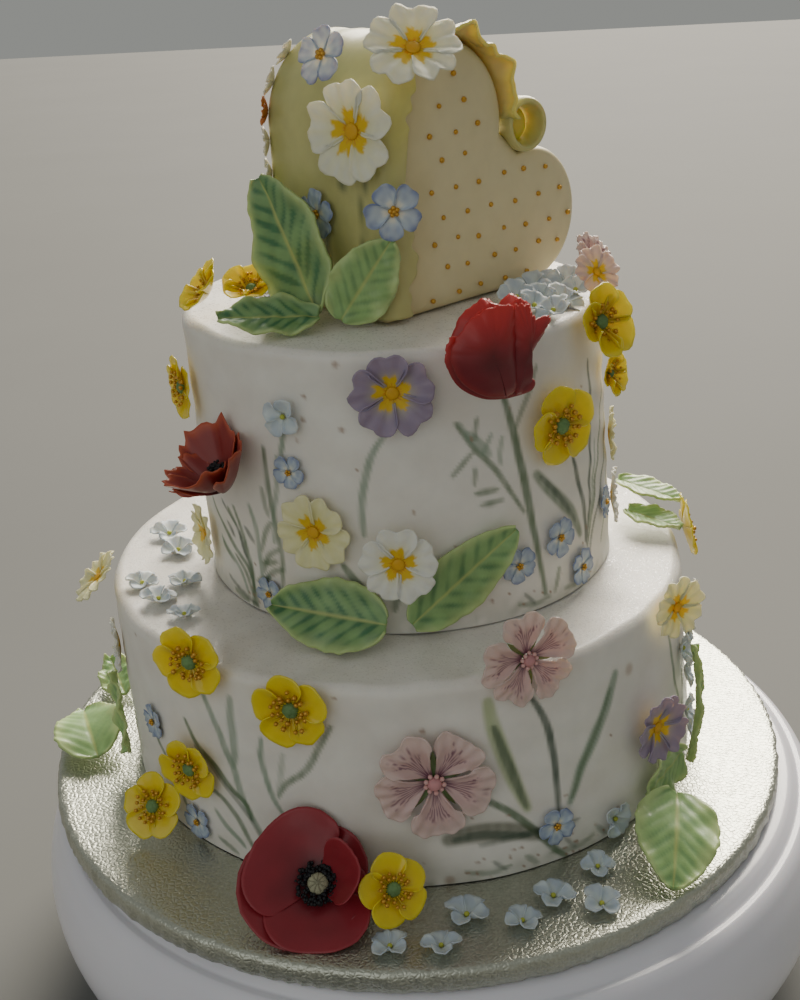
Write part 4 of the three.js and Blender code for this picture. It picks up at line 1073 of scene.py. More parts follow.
def vein_field(along, across, seed):
    """1 on a vein and 0 between them."""
    draw = np.random.default_rng(seed)
    field = np.zeros_like(along)
    for root in np.linspace(-0.8, 0.8, VEINS):
        length, sway = draw.uniform(0.7, 0.97) - 0.16 * abs(root), draw.uniform(-0.05, 0.05)
        centre = root * (0.3 + 0.7 * along) + sway * np.sin(5 * along)
        for side in (-1, 1):
            line = np.abs(across - centre - side * 0.085 * smooth(0.42, 1, along))
            width = 0.075 * (1.15 - along)
            fade = smooth(length + 0.08, length - 0.12, along)
            field = np.maximum(field, smooth(width, width * 0.3, line) * fade)
    return field


def mallow_paint(along, across, seed):
    paint = mingle(PLUM, MALLOW, smooth(0.05, 0.42, along + 0.06 * np.sin(12 * across)))
    paint = mingle(paint, MALLOW_PALE, 0.6 * smooth(0.6, 1, along))
    return mingle(paint, PLUM, 0.8 * vein_field(along, across, seed))


def mallow(radius, seed, cup=0.2):
    flower = Piece()
    rows, columns = MALLOW_GRID if radius > 21 else SMALL_MALLOW_GRID
    petal_ring(
        flower, 5, radius, mallow_paint, seed=seed, half_angle=35, valley=0.66, roundness=3.4, notch=0.1,
        notch_width=0.34, narrow=0.42, cup=cup, curl=0.1, dish=0.05, ruffle=0.55, waves=5, overlap=0.2,
        rows=rows, columns=columns, thickness=1.1,
    )
    for k in range(5):
        points, along, _ = petal(
            radius * 0.55, 11, valley=0.1, roundness=1.3, cup=0.02, ruffle=0, overlap=0, rows=8, columns=7
        )
        points[..., 2] += 0.9
        flower.sheet(turned(points, 36 + 72 * k), 0.5, mingle(MOSS, FRESH, along * 0.4), 0)
    flower.ball((0, 0, 3.1), np.array((0.12, 0.12, 0.1)) * radius, tint(0xc98f92), 1, 3)
    for k in range(9):
        angle = 2 * np.pi * k / 9
        place = (0.15 * radius * np.cos(angle), 0.15 * radius * np.sin(angle), 3.4 + 0.4 * np.sin(2.4 * k))
        flower.ball(place, 0.042 * radius, PEARL, 0, 2)
    return flower


MALLOWS = [
    (21.2, on_wall(BOTTOM, 21.9, 99.5, 21.2, spin=8)),
    (25, on_wall(BOTTOM, 4, 51.6, 25, spin=36)),
    (13, on_level(80, 10, 341, 55, 35)),
    (20, on_wall(BOTTOM, 160, 78, 20, spin=20)),
]
for number, (radius, place) in enumerate(MALLOWS, 1):
    name = f"mallow_{number}"
    serve(f"{name}_sugar", mallow(radius, 300 + number), [glazed_paste, seed_paste], name, place)
print(len(MALLOWS), "mallows")

# %% [markdown]
# Forget-me-nots are punched out whole, so their five petals lie in one plane. Their edges are brushed
# a deeper blue, a white star is left round the middle, and gold beads fill it. The palest ones have
# four petals, cupped on foam, with a single yellow-green bead.

# %% Forget-me-nots and pale blossoms
BLUE, BLUE_DEEP, BLUE_PALE, BEAD_GREEN = tint(0xa0b0c8), tint(0x5d6fa6), tint(0xcfdadd), tint(0xb9c04a)


def forget_me_not_paint(along, across, seed):
    patch = np.clip(0.5 + 0.8 * rumple(along * 3 + seed, across * 2, 1.6, seed % 7), 0, 1)
    paint = mingle(BLUE_PALE, BLUE, smooth(0.25, 0.7, along) * (0.45 + 0.55 * patch))
    paint = mingle(paint, BLUE_DEEP, 0.75 * smooth(0.74, 1.0, along) * (0.4 + 0.6 * patch))
    return mingle(paint, WHITE, smooth(0.46, 0.3, along) * smooth(0.75, 0.3, np.abs(across)))


def forget_me_not(radius, seed):
    flower = Piece()
    fine = radius > 10
    petal_ring(
        flower, 5, radius, forget_me_not_paint, seed=seed, half_angle=35, valley=0.56, roundness=2.6,
        notch=0.05, cup=0.1, curl=0.03, dish=0.05, ruffle=0.35, overlap=0.25, rows=15 if fine else 10,
        columns=17 if fine else 11, lift=1.2, thickness=0.8,
    )
    for k in range(6):
        angle, reach = 2 * np.pi * k / 5, 0 if k == 5 else 0.12 * radius
        bead = (reach * np.cos(angle), reach * np.sin(angle), 2.3 + 0.6 * (k == 5))
        flower.ball(bead, 0.085 * radius, GOLD, 1, 2 if fine else 1)
    return flower


def pale_paint(along, across, seed):
    touch = smooth(0.35, 0.9, np.abs(np.sin(3 * along + seed + 1.5 * across)))
    paint = mingle(BLUE_PALE, WHITE, 0.35 * smooth(0.5, 0, along))
    return mingle(paint, BLUE, 0.45 * touch * smooth(0.2, 0.8, along))


def pale_blossom(radius, seed):
    flower = Piece()
    petal_ring(
        flower, 4, radius, pale_paint, seed=seed, half_angle=42, valley=0.62, roundness=2.2, notch=-0.06,
        notch_width=0.25, narrow=0.7, cup=0.42, curl=0.1, dish=0.2, ruffle=0.4, overlap=0.2, rows=8,
        columns=10, lift=0.6, thickness=0.7,
    )
    flower.ball((0, 0, 1.5), 0.13 * radius, BEAD_GREEN, 0, 2)
    return flower


BLUE_SPREAD, PALE_SPREAD = 1.1, 1.18


def small_flowers(name, places, node):
    """Many small flowers as one object, a little wider than the solid's plain forms.

    Each place is (radius, petals, matrix); five petals make a forget-me-not and four a pale blossom.
    """
    bunch = Piece()
    for k, (radius, petals, place) in enumerate(places):
        if petals == 5:
            bunch.join(forget_me_not(BLUE_SPREAD * radius, 400 + k), place)
        else:
            bunch.join(pale_blossom(PALE_SPREAD * radius, 500 + k), place)
    serve(name, bunch, [petal_paste, gold_lustre], node)
    print(name, "has", len(places), "flowers and", len(bunch.faces), "faces")


HEART_FORGET_ME_NOTS = [
    (12.2, on_heart(-0.6, 105, -28.5, -42, 22, 10)), (11, on_heart(-0.6, 42, -38, -47.5, 0)),
    (12, on_heart(-1, 48.4, 8, 6, 0, 26)),
]
for number, (radius, place) in enumerate(HEART_FORGET_ME_NOTS, 1):
    name = f"forget_me_not_{number}"
    flower = forget_me_not(radius, 440 + number)
    serve(f"{name}_sugar", flower, [petal_paste, gold_lustre], name, place)
print(len(HEART_FORGET_ME_NOTS), "forget-me-nots on the heart")

# %% [markdown]
# The small flowers on the drum and the tiers are many, so each tier's are one object. Those on a wall
# are given as azimuth, height, radius and petals, and those on a level top as x, y, radius and petals.

# %% Where the small flowers lie
def lying(x, y, z, spin, lean):
    """The seat of a flower on a level top, leaning by a few degrees towards where it is spun."""
    return seat(np.array((x, y, z)), direction(spin, 90 - lean), BACKWARD, spin)


DRUM_BLOSSOMS = [
    (66, -119, 6.2), (64, -142, 7), (45, -136, 7.2), (31, -150, 6.6), (9, -145, 7.6), (-2, -162, 6.6),
    (-22, -161, 6.8),
]
BOTTOM_WALL = [
    (-55, 49, 8, 5), (-44, 10, 8, 5), (25, 18, 8.4, 5), (38, 8, 6.8, 4), (69, 56, 7, 4), (72, 40, 6.5, 4),
    (70, 22, 6.5, 4), (73, 9, 6.5, 4), (150, 46, 8, 5), (-140, 14, 8, 5), (128, 16, 7, 4),
]
BOTTOM_LEVEL = [
    (-126, 34, 7.6, 4), (-119, 14, 7.4, 4), (-131, -20, 6.8, 4), (-121, -37, 7, 4), (-111, -21, 7, 4),
    (-107, -53, 6, 4), (30, 125, 7, 4), (46, 118, 7, 4),
]
MIDDLE_WALL = [
    (-29, 95, 7.2, 4), (-29, 71, 7, 5), (-40, 11, 7.4, 5), (42, 30, 8.4, 5), (28, 24, 8, 5), (51, 10, 8, 5),
    (68, 30, 7, 5), (165, 60, 7.5, 5), (-150, 40, 7.5, 5),
]
MIDDLE_LEVEL = [
    (-66, 18, 5.2, 5), (52, -2, 8.2, 4), (44, -16, 7.4, 4), (63, -20, 8, 4), (58, -36, 7, 4), (68, 4, 7.4, 4),
    (55, -12, 7, 4), (50, -27, 7, 4), (71, -9, 7, 4), (60, 8, 7, 4),
]


def wall_places(tier, flowers):
    """Seats for (azimuth, height, radius, petals), pressed slightly into the wall."""
    places = []
    for azimuth, height, radius, petals in flowers:
        origin = wall_point(tier, azimuth, height, -0.2)
        places.append((radius, petals, seat(origin, wall_normal(tier, azimuth, height), UP, azimuth)))
    return places


SCATTERED_LEAN, HEAPED_LEAN = 7, 30


def level_places(z, flowers, heaped=False):
    """Seats on a level top; heaped flowers lie on one another and lean forwards."""
    places = []
    for k, (x, y, radius, petals) in enumerate(flowers):
        if heaped:
            place = lying(x, y, z + 1.1 * (k % 3), 40 * (k % 4) - 60, HEAPED_LEAN)
        else:
            place = lying(x, y, z, 37 * k, SCATTERED_LEAN)
        places.append((radius, petals, place))
    return places


small_flowers("drum_blossoms", level_places(DRUM_TOP, [(*f, 4) for f in DRUM_BLOSSOMS]), "drum")
on_bottom = level_places(BOTTOM["z"] + BOTTOM["height"], BOTTOM_LEVEL)
small_flowers("bottom_tier_blossoms", wall_places(BOTTOM, BOTTOM_WALL) + on_bottom, "tier_bottom")
on_middle = level_places(MIDDLE["z"] + MIDDLE["height"], MIDDLE_LEVEL, heaped=True)
small_flowers("middle_tier_blossoms", wall_places(MIDDLE, MIDDLE_WALL) + on_middle, "tier_middle")

# %% [markdown]
# Leaves are cut from green paste, veined in a press and laid over something while they are soft.
# The side veins are brushed in dark green from the rib outwards, the rib stays yellow-green, and
# the margin is scalloped.

# %% Leaves
LEAF, LEAF_DARK, LEAF_RIB, LEAF_MARGIN = tint(0x97bb78), tint(0x35704a), tint(0xbcc474), tint(0xb9d08c)
LEAF_ROWS, LEAF_COLUMNS = 60, 25
SCALLOP_MM = 7
VEIN_PAIRS = 7.5
LEAF_THICK = 1.2


def leaf(length, width, arch=0.0, fold=2.0, wave=1.5, dark=0.75, seed=0):
    """A leaf along +Y that arches, folds up at its rib and waves; `dark` is how much green is brushed on."""
    draw = np.random.default_rng(seed)
    share = np.linspace(0.01, 0.99, LEAF_ROWS)[:, None]
    side = np.linspace(1, -1, LEAF_COLUMNS)[None, :]
    half = 0.5 * width * np.sin(np.pi * share**0.8) ** 0.6
    scallops = np.sin(2 * np.pi * share * length / SCALLOP_MM + draw.uniform(0, 6)) * (np.abs(side) > 0.9)
    half = half * (1 + 0.013 * scallops)
    slant = (share * length - 1.05 * np.abs(side) * half) / (length / VEIN_PAIRS)
    press = np.cos(2 * np.pi * slant)
    spine = arch * np.sin(np.pi * share)
    ruffle = wave * np.sin(17 * share + side * 1.3 + seed) * np.abs(side) ** 2
    crinkle = rumple(side * half, share * length, width / 3, seed + 5) * min(wave, 1.2) * 0.35
    height = spine + fold * np.abs(side) + ruffle + crinkle + 0.2 * press * np.sqrt(np.abs(side))
    height = height - 0.3 * np.exp(-((side / 0.06) ** 2))
    points = np.stack([side * half, share * length + 0 * side, height], -1)
    cloud = rumple(points[..., 0], points[..., 1], width / 2.2, seed)
    uneven = 0.7 + 0.2 * rumple(points[..., 1], 9 * np.sign(side), 16, seed + 3)
    marks = smooth(-0.15, 1.0, -press * uneven + 0.4 * cloud)
    marks = marks * smooth(0.95, 0.5, np.abs(side) + 0.15 * cloud) * smooth(0.02, 0.12, np.abs(side))
    paint = mingle(LEAF, LEAF_MARGIN, smooth(0.5, 1, np.abs(side) + 0.15 * cloud))
    wash = 0.66 * smooth(0.55, 1, dark) * (0.7 + 0.25 * cloud) * smooth(1.05, 0.7, np.abs(side))
    paint = mingle(paint, LEAF_DARK, np.clip(0.68 * dark * marks + wash, 0, 0.93))
    paint = mingle(paint, LEAF_RIB, 0.75 * smooth(0.09, 0.02, np.abs(side) + 0 * share))
    piece = Piece()
    piece.sheet(points, LEAF_THICK + 0 * cloud, paint, under=mingle(paint, LEAF_MARGIN, 0.6 + 0 * cloud))
    return piece


def leaf_place(stalk, tip, facing):
    """A leaf runs from its stalk towards its tip, and its upper face looks along `facing`."""
    y = (tip - stalk) / np.linalg.norm(tip - stalk)
    x = np.cross(y, facing)
    x /= np.linalg.norm(x)
    place = np.eye(4)
    place[:3, :3], place[:3, 3] = np.column_stack([x, y, np.cross(x, y)]), stalk
    return place


def at(*corner):
    """A point in the model's own millimetres."""
    return np.array(corner, float)


LEAVES = [
    (wall_point(MIDDLE, -6, 12, 14), wall_point(MIDDLE, -33, 15, 14), direction(-20, 38),
     dict(width=31, length=52, dark=0.9)),
    (wall_point(MIDDLE, -1, 7, 6), wall_point(MIDDLE, 25, 42, 5.5), direction(12, 8),
     dict(width=27, length=60, fold=1, wave=0.8)),
    (heart_point(-16, 4, -25), heart_point(-10, 58, -66), direction(-40, 4),
     dict(width=42, length=66, dark=1.0)),
    (heart_point(-19, 5.4, -20), heart_point(-46, 8, -36), direction(-20, 55),
     dict(width=21, length=42, dark=0.95)),
    (heart_point(-13, 3, -14), heart_point(-2, 39, 9), direction(-10, 0),
     dict(width=27, length=42, fold=1, dark=0.6)),
    (wall_point(BOTTOM, -73, 9, 5.6), wall_point(BOTTOM, -76, 47, 6), direction(-66, 0),
     dict(width=18, length=42, dark=0.5)),
    (at(-162, -27, 118), at(-177, 14, 118), direction(-82, 80),
     dict(width=34, length=46, arch=6, dark=0.3, wave=0.7)),
    (at(-160, 34, 116), at(-172, 62, 122), direction(-95, 70), dict(width=20, length=32, dark=0.4)),
    (at(104, -94, 131), at(94, -137, 115), direction(8, 58),
     dict(width=36, length=48, arch=3, dark=0.6, wave=0.9)),
    (wall_point(BOTTOM, 58, 18, 6), wall_point(BOTTOM, 44, 12, 5), direction(50, 5),
     dict(width=24, length=32, dark=0.5)),
    (wall_point(BOTTOM, 61, 8, 6), wall_point(BOTTOM, 67, 62, 7), direction(78, 4),
     dict(width=9, length=56, arch=3.5, dark=0.6, wave=0.8)),
    (at(99, 41, 222), at(124, 26, 217), direction(60, 60), dict(width=20, length=34, dark=0.3, wave=0.5)),
    (at(101, 24, 213), at(120, 7, 211), direction(50, 72), dict(width=20, length=30, dark=0.3, wave=0.5)),
    (wall_point(BOTTOM, 170, 46, 4), wall_point(BOTTOM, 152, 20, 5), direction(161, 6),
     dict(width=22, length=40)),
    (wall_point(MIDDLE, -168, 62, 4), wall_point(MIDDLE, -150, 34, 4), direction(-160, 6),
     dict(width=22, length=38)),
]
for number, (stalk, tip, facing, form) in enumerate(LEAVES, 1):
    name = f"leaf_{number}"
    made = leaf(**form, seed=600 + number)
    serve(f"{name}_sugar", made, [leaf_paste], name, leaf_place(stalk, tip, facing))
print(len(LEAVES), "leaves")

# %% [markdown]
# Poppies have wide, thin petals that wrap round each other. The open ones are bowls of the same
# petal as above, with a ring of black stamens round a pale seed head.

# %% Open poppies
CRIMSON, CRIMSON_DEEP, BLACK, HEAD = tint(0x92202e), tint(0x5a101c), tint(0x13151b), tint(0xb3b192)
SCARLET, SCARLET_DEEP, ORANGE_RIM_HIGHLIGHT = tint(0x922a28), tint(0x501218), tint(0xdc6a40)


def poppy_paint(colour, deep, edge):
    """The painter of one poppy: its dust, its depth, and its edge, brightened as a painted highlight where
    light catches the rim.
    """
    def paint_petal(along, across, seed):
        shade = np.clip(0.5 + 0.5 * rumple(along * 5 + seed, across * 4, 2.5, seed % 11), 0, 1)
        paint = mingle(deep, colour, smooth(0.1, 0.6, along))
        paint = mingle(paint, deep, 0.3 * shade * smooth(1, 0.5, along))
        # Painted highlight: the tip of each petal is lightened towards the edge colour, where light catches
        # the rim.
        return mingle(paint, edge, 0.5 * smooth(0.86, 1, along))

    return paint_petal


POPPY_GRID = {"rows": 24, "columns": 33}
POPPY_FORM = {"valley": 0.66, "roundness": 2.8, "ruffle": 0.5, "curl": 0.04, "spoon": 0.1, "base": 0.06}


def bowl(petals, paint, seed, shift=(0, 0), **form):
    """Poppy petals, each with (turn, radius, half angle, cup, lift), laid one on another."""
    flower = Piece()
    form = {**POPPY_GRID, **POPPY_FORM, **form}
    for k, (turn, radius, half_angle, cup, lift) in enumerate(petals):
        cup *= (radius / 30) ** 0.7
        points, along, across = petal(radius, half_angle, cup=cup, seed=seed + k, **form)
        points = turned(points, turn) + np.array((*shift, lift))
        thickness = blend(1.0, 0.45, np.maximum(along, np.abs(across)))
        flower.sheet(points, thickness, paint(along, across, seed + k))
    return flower


def seed_head(flower, middle, head, near, far, count, seed):
    """A pale ribbed head in a dense ring of black stamens."""
    draw = np.random.default_rng(seed)
    middle = np.array(middle, float)
    for _ in range(count):
        angle, reach = draw.uniform(0, 2 * np.pi), np.sqrt(draw.uniform(near**2, far**2))
        grain = middle + (reach * np.cos(angle), reach * np.sin(angle), draw.uniform(-0.6, 1.6))
        flower.ball(grain, np.array((1, 1, 0.8)) * draw.uniform(0.6, 1.05), BLACK, 1, 1)
    if head:
        flower.ball(middle, (head, head, 2.2), HEAD, 1, 3)
        for angle in np.linspace(0, 2 * np.pi, 9, endpoint=False):
            tip = middle + (0.9 * head * np.cos(angle), 0.9 * head * np.sin(angle), 1.5)
            rod(flower, middle + (0, 0, 2.3), tip, 0.32, blend(HEAD, BLACK, 0.25), 1)
    return flower


ONE_PETALS = [
    (-30, 24, 66, 0.4, 0), (-125, 20, 64, 0.5, 0.8), (95, 32, 72, 0.34, 1.7), (172, 28.5, 74, 0.36, 3.0),
    (42, 30.5, 76, 0.36, 4.3), (-86, 18.5, 62, 1.7, 3.6),
]
ONE_MIDDLE = np.array((7.6, -2, 7.2))
crimson_paint = poppy_paint(CRIMSON, CRIMSON_DEEP, tint(0x9e2c38))
poppy_one = bowl(ONE_PETALS, crimson_paint, 700, shift=ONE_MIDDLE[:2], tears=0.012)
seed_head(poppy_one, ONE_MIDDLE, 4.4, 4.4, 9, 250, 701)
place = seat(wall_point(BOTTOM, -18.6, 9.5, 15), direction(-4, 50), UP, 10)
serve("poppy_1_sugar", poppy_one, [dusted_paste, seed_paste], "poppy_1", place)
FOUR_PETALS = [(72 * k + 8 * (k % 2), 24 + k % 3, 56, 0.45, 0.9 * k) for k in range(5)]
scarlet_paint = poppy_paint(SCARLET, SCARLET_DEEP, ORANGE_RIM_HIGHLIGHT)
poppy_four = bowl(FOUR_PETALS, scarlet_paint, 740, tears=0.02)
seed_head(poppy_four, (0, 0, 6.2), 3.8, 4, 8, 170, 741)
place = seat(wall_point(BOTTOM, 176, 27, 1.5), wall_normal(BOTTOM, 176, 27), UP, 40)
serve("poppy_4_sugar", poppy_four, [dusted_paste, seed_paste], "poppy_4", place)
print("open poppies", len(poppy_one.faces), "and", len(poppy_four.faces), "faces")

# %% [markdown]
# The half-open poppy is the same bowl with steep, torn petals, turned so that one sees into it from
# the front. It is shaped on its solid's place and then tipped a few degrees towards the viewer.

# %% The half-open poppy
TWO_PETALS = [
    (118, 25, 22, 0.55, -1.0), (-48, 22, 62, 1.25, 0.0), (42, 22, 62, 1.3, 1.0), (122, 18, 56, 1.25, 2.0),
    (-140, 18, 82, 1.7, 3.0),
]
half_open = bowl(TWO_PETALS, scarlet_paint, 720, tears=0.1, ruffle=1.7, valley=0.62)
seed_head(half_open, (-1, 2, 8), 0, 0.5, 5.6, 150, 721)
CUP_PLACE = seat(wall_point(MIDDLE, -47, 58, 9.5), direction(-64, 62), UP)
TIPPED = np.linalg.inv(CUP_PLACE) @ seat(wall_point(MIDDLE, -46.5, 60, 10), direction(-56, 58), UP)
tipped = Piece()
tipped.join(half_open, TIPPED)
serve("poppy_2_sugar", tipped, [dusted_paste, seed_paste], "poppy_2", CUP_PLACE)
print("half-open poppy", len(half_open.faces), "faces")

# %% [markdown]
# The closed poppy was pressed flat, so its petals are shallow domed shells over torn outlines. The
# outlines were chosen in millimetres from the flower's foot, and are then drawn in a little
# to the solid's size. Their upper parts are painted a brighter red, as a painted highlight where
# they catch the light.

# %% The closed poppy
SHELL_SCALE, SHELL_SHIFT = (0.91, 0.82), (1.2, 6.4)
RIM_STEPS, SHELL_RINGS = 7, 24


def shell(outline, depth, bulge, tear, paint, seed, lean):
    """A pressed petal: a domed shell over a torn outline of (across, up)."""
    draw = np.random.default_rng(seed)
    rim = eased([*outline, outline[0]], RIM_STEPS)
    torn = tear * smooth(0.35, 0.8, rim[:, 1:] / rim[:, 1].max())
    phases = np.arange(len(rim)) * 9 / RIM_STEPS
    rough = np.sin(0.9 * phases + 1.3 * np.sin(0.31 * phases))
    rough += 0.6 * np.sin(2.1 * phases + draw.uniform(0, 6))
    middle = rim.mean(axis=0)
    outwards = (rim - middle) / np.linalg.norm(rim - middle, axis=1, keepdims=True)
    rim = rim + torn * rough[:, None] * outwards
    share = np.linspace(1, 0.002, SHELL_RINGS)[:, None]
    flat = middle + share[..., None] * (rim - middle)
    swell = bulge * (1 - share**2.2) + 0.5 * rumple(flat[..., 0], flat[..., 1], 12, seed) * (1 - share**4)
    flat = flat * SHELL_SCALE + SHELL_SHIFT
    points = np.stack([flat[..., 0], depth + swell + lean * flat[..., 0], flat[..., 1]], -1)
    colour = paint(0.25 + 0.75 * share + 0 * swell, 0 * swell, seed)
    # Painted highlight: the upper part of each shell is lightened towards a bright red, where it catches the
    # light.
    bright = smooth(0.45, 1.02, flat[..., 1] / flat[..., 1].max())
    return points[:, ::-1], mingle(colour, tint(0xd4302c), 0.8 * bright)[:, ::-1]


LEFT_OUTLINE = [
    (-3, 0), (-12, 2), (-21, 9), (-25.5, 18), (-26, 25), (-22, 33), (-15, 40), (-6, 43), (0, 42), (1.5, 34),
    (2, 18), (1.5, 4),
]
RIM_OUTLINE = [
    (-1, -1.5), (-12, 0), (-22, 7), (-27, 17), (-27.3, 25), (-24, 31), (-18, 26), (-13, 12), (0, 3), (10, 5),
    (9, 0.5),
]
RIGHT_OUTLINE = [
    (2, -0.5), (9, 1), (10, 8), (9.5, 17), (14, 24), (19.5, 33.5), (13, 34.5), (10, 37), (8.5, 41), (4, 42.5),
    (0, 39), (-0.8, 25), (-0.5, 8),
]
BACK_OUTLINE = [
    (-2, 2), (-16, 6), (-22, 20), (-18, 34), (-8, 42.5), (-3, 41), (0, 38), (6, 43), (11, 38), (9, 20),
    (8, 4),
]
closed_paint = poppy_paint(tint(0x761a26), tint(0x420c16), tint(0xa02a2a))
CLOSED_PETALS = [
    (BACK_OUTLINE, 2.5, -9.0, 0.45, 0.0), (BACK_OUTLINE, -4.0, -4.0, 0.45, 0.0),
    (RIM_OUTLINE, -7.2, -2.0, 0.45, -0.12), (LEFT_OUTLINE, -9.0, -4.6, 0.45, -0.08),
    (RIGHT_OUTLINE, -9.6, -3.6, 0.7, 0.1),
]
closed = Piece()
for number, (outline, depth, bulge, tear, lean) in enumerate(CLOSED_PETALS):
    points, paint = shell(outline, depth, bulge, tear, closed_paint, 900 + number, lean)
    closed.sheet(points, np.ones(points.shape[:-1]), paint)
# The core stands for the inner petals; its deep crimson is partly their own colour and partly painted shade
# inside the closed flower.
closed.ball((-0.5, -0.5, 19), (15, 5.6, 12), CRIMSON_DEEP, 0, 3)
place = seat(wall_point(MIDDLE, 21.6, 101.5, 12.8), UP, -direction(21.6, 0))
serve("poppy_3_sugar", closed, [dusted_paste], "poppy_3", place)
print("closed poppy", len(closed.faces), "faces")

# %% [markdown]
# The heart is a cake cut to a heart and stood on its straight side. Seen on its face, the outline is
# a corner at the lower left and two round lobes. Every point of it can be seen from the middle, so
# the face is a grid of rings round the middle: that leaves room to puff it up a little and to paint
# shade near the drape. Gold beads sit on it in a hand-set lattice.

# %% The heart's outline
DEPTH, BEVEL = 71, 5
UPPER_LOBE, SIDE_LOBE = (37.5, 75, 34.2), (90.5, 30, 30)
LEFT = UPPER_LOBE[0] - UPPER_LOBE[2]
HEART_MIDDLE = np.array((45.0, 42.0))
HEART_CREAM, HEART_SHADE = tint(0xe8dcb2), tint(0xd4c48e)


def arc(lobe, start, end, steps):
    """Points on a lobe, which is given as its middle and its radius."""
    angles = np.radians(np.linspace(start, end, steps))
    return np.column_stack([lobe[0] + lobe[2] * np.cos(angles), lobe[1] + lobe[2] * np.sin(angles)])


left_side = np.column_stack([np.full(26, LEFT), np.linspace(72, 3, 26)])
foot_side = np.column_stack([np.linspace(LEFT, 88, 30), np.zeros(30)])
outline = np.vstack([arc(SIDE_LOBE, -90, 104, 60), arc(UPPER_LOBE, -10, 180, 70), left_side, foot_side])
ray = outline - HEART_MIDDLE
ray /= np.linalg.norm(ray, axis=1, keepdims=True)
print("heart outline of", len(outline), "points,", DEPTH, "mm deep")

# %% [markdown]
# The rings run out over the face, round its bevelled edge, back along the side and in again over the
# back. The cream is a little darker under the drape and along the foot, where less light gets in.

# %% The heart's rings and its paint
PUFF = 0.9
SHADED_FRONT = -6


def level_ring(flat, w):
    """A ring of (u, v) points at one depth."""
    return np.column_stack([flat, np.full(len(flat), w)])


rows = []
for share in np.linspace(0.02, 1, 22):
    ring = HEART_MIDDLE + (outline - ray * BEVEL - HEART_MIDDLE) * share
    rows.append(level_ring(ring, PUFF * (1 - share**3)))
for angle in np.radians(np.linspace(12, 90, 7)):
    rows.append(level_ring(outline - ray * BEVEL * (1 - np.sin(angle)), -BEVEL * (1 - np.cos(angle))))
rows += [level_ring(outline, w) for w in np.linspace(-BEVEL - 3, BEVEL - DEPTH, 12)]
for angle in np.radians(np.linspace(78, 0, 6)):
    rows.append(level_ring(outline - ray * BEVEL * (1 - np.sin(angle)), -DEPTH + BEVEL * (1 - np.cos(angle))))
rows.append(level_ring(HEART_MIDDLE + (outline - HEART_MIDDLE) * 0.02, -DEPTH))
heart_rows = np.array(rows)[:, ::-1]
u, v, w = np.moveaxis(heart_rows, -1, 0)
near_drape = smooth(34, 16, u) * (w > SHADED_FRONT)
near_foot = smooth(9, 0, v) * (w > SHADED_FRONT)
shade = np.clip(0.45 * near_drape + 0.25 * near_foot + 0.08 * rumple(u, v, 22, 41), 0, 1)
heart_paint = mingle(HEART_CREAM, HEART_SHADE, shade)
heart_points = heart_point(u[..., None], v[..., None], w[..., None])
print("heart grid of", heart_points.shape[:2], "points")

# %% [markdown]
# The beads are set by hand with tweezers, so their rows are staggered and a little uneven. The draw
# is the one that the solid's beads use, a plain multiply and remainder, so both have the same places.

# %% The beads and the finished heart
BEAD_MARGIN, BEAD_PITCH, BEAD_SCATTER = (12, 6), (14.5, 11.2), 3
BEAD_ROWS, BEAD_COLUMNS = 10, 9
MULTIPLIER, REMAINDER_OF = 16807, 2147483647


def gold_bead_places():
    """A staggered lattice over the face; a seeded draw keeps the spacing uneven, as in the solid."""
    seed, places = 7, []
    for row in range(BEAD_ROWS):
        for column in range(BEAD_COLUMNS):
            pair = []
            for _ in range(2):
                seed = seed * MULTIPLIER % REMAINDER_OF
                pair.append(BEAD_SCATTER * (seed / REMAINDER_OF - 0.5))
            u = BEAD_MARGIN[0] + (column + (row % 2) / 2) * BEAD_PITCH[0] + pair[0]
            v = BEAD_MARGIN[1] + row * BEAD_PITCH[1] + pair[1]
            inside = np.hypot(u - UPPER_LOBE[0], v - UPPER_LOBE[1]) < UPPER_LOBE[2] - 9
            inside |= np.hypot(u - SIDE_LOBE[0], v - SIDE_LOBE[1]) < SIDE_LOBE[2] - 4
            inside |= u < SIDE_LOBE[0] and 4 < v < 58
            if u > 21 and inside:
                places.append((u, v))
    return places


heart = Piece()
heart.grid(heart_points[:, ::-1], heart_paint[:, ::-1], around=True)
around = heart_points.shape[1]
for ring, order in ((0, (0, 1, 2)), (-1, (0, 2, 1))):
    fan = [[(0, k + 1, (k + 1) % around + 1)[i] for i in order] for k in range(around)]
    heart.add(np.vstack([heart_points[ring].mean(axis=0), heart_points[ring]]), HEART_CREAM, fan, 0)
for k, (u, v) in enumerate(gold_bead_places()):
    heart.ball(heart_point(u, v, 1.0), 1.15 + 0.1 * np.sin(3 * k), GOLD, 1, 2)
serve("heart_icing", heart, [icing, gold_lustre], "heart")
print("heart of", len(heart.faces), "faces with", len(gold_bead_places()), "gold beads")

# %% [markdown]
# The yellow drape is a sheet of sugarpaste thrown over the heart's left side and its upper lobe. On
# the left its edge is turned over the face; along the lobe it stands up as a frilled lip, and
# it ends in a rolled loop. At each step along the way the sheet has its own cross-section: wrapped
# at first, flared further on, and always a smooth curve through a few corners.

# %% The drape's cross-section
DRAPE, DRAPE_FOLD_SHADE, DRAPE_PAINTED_GLOW = tint(0xcac687), tint(0xa5a362), tint(0xf2e872)
REACH, LINING = 3.0, 0.8

drape_paste = sugarpaste(
    "yellow_drape_paste", 0.4, grain_mm=0.9, relief_mm=0.05, glow=0.5, gloss=0.1, mottle=0.05
)


def quarter(middle_w, start, end):
    """Five corners on a round edge of the drape, from one angle to another."""
    angles = np.radians(np.linspace(start, end, 5))
    return [(middle_w + (BEVEL + REACH) * np.cos(a), -BEVEL + (BEVEL + REACH) * np.sin(a)) for a in angles]


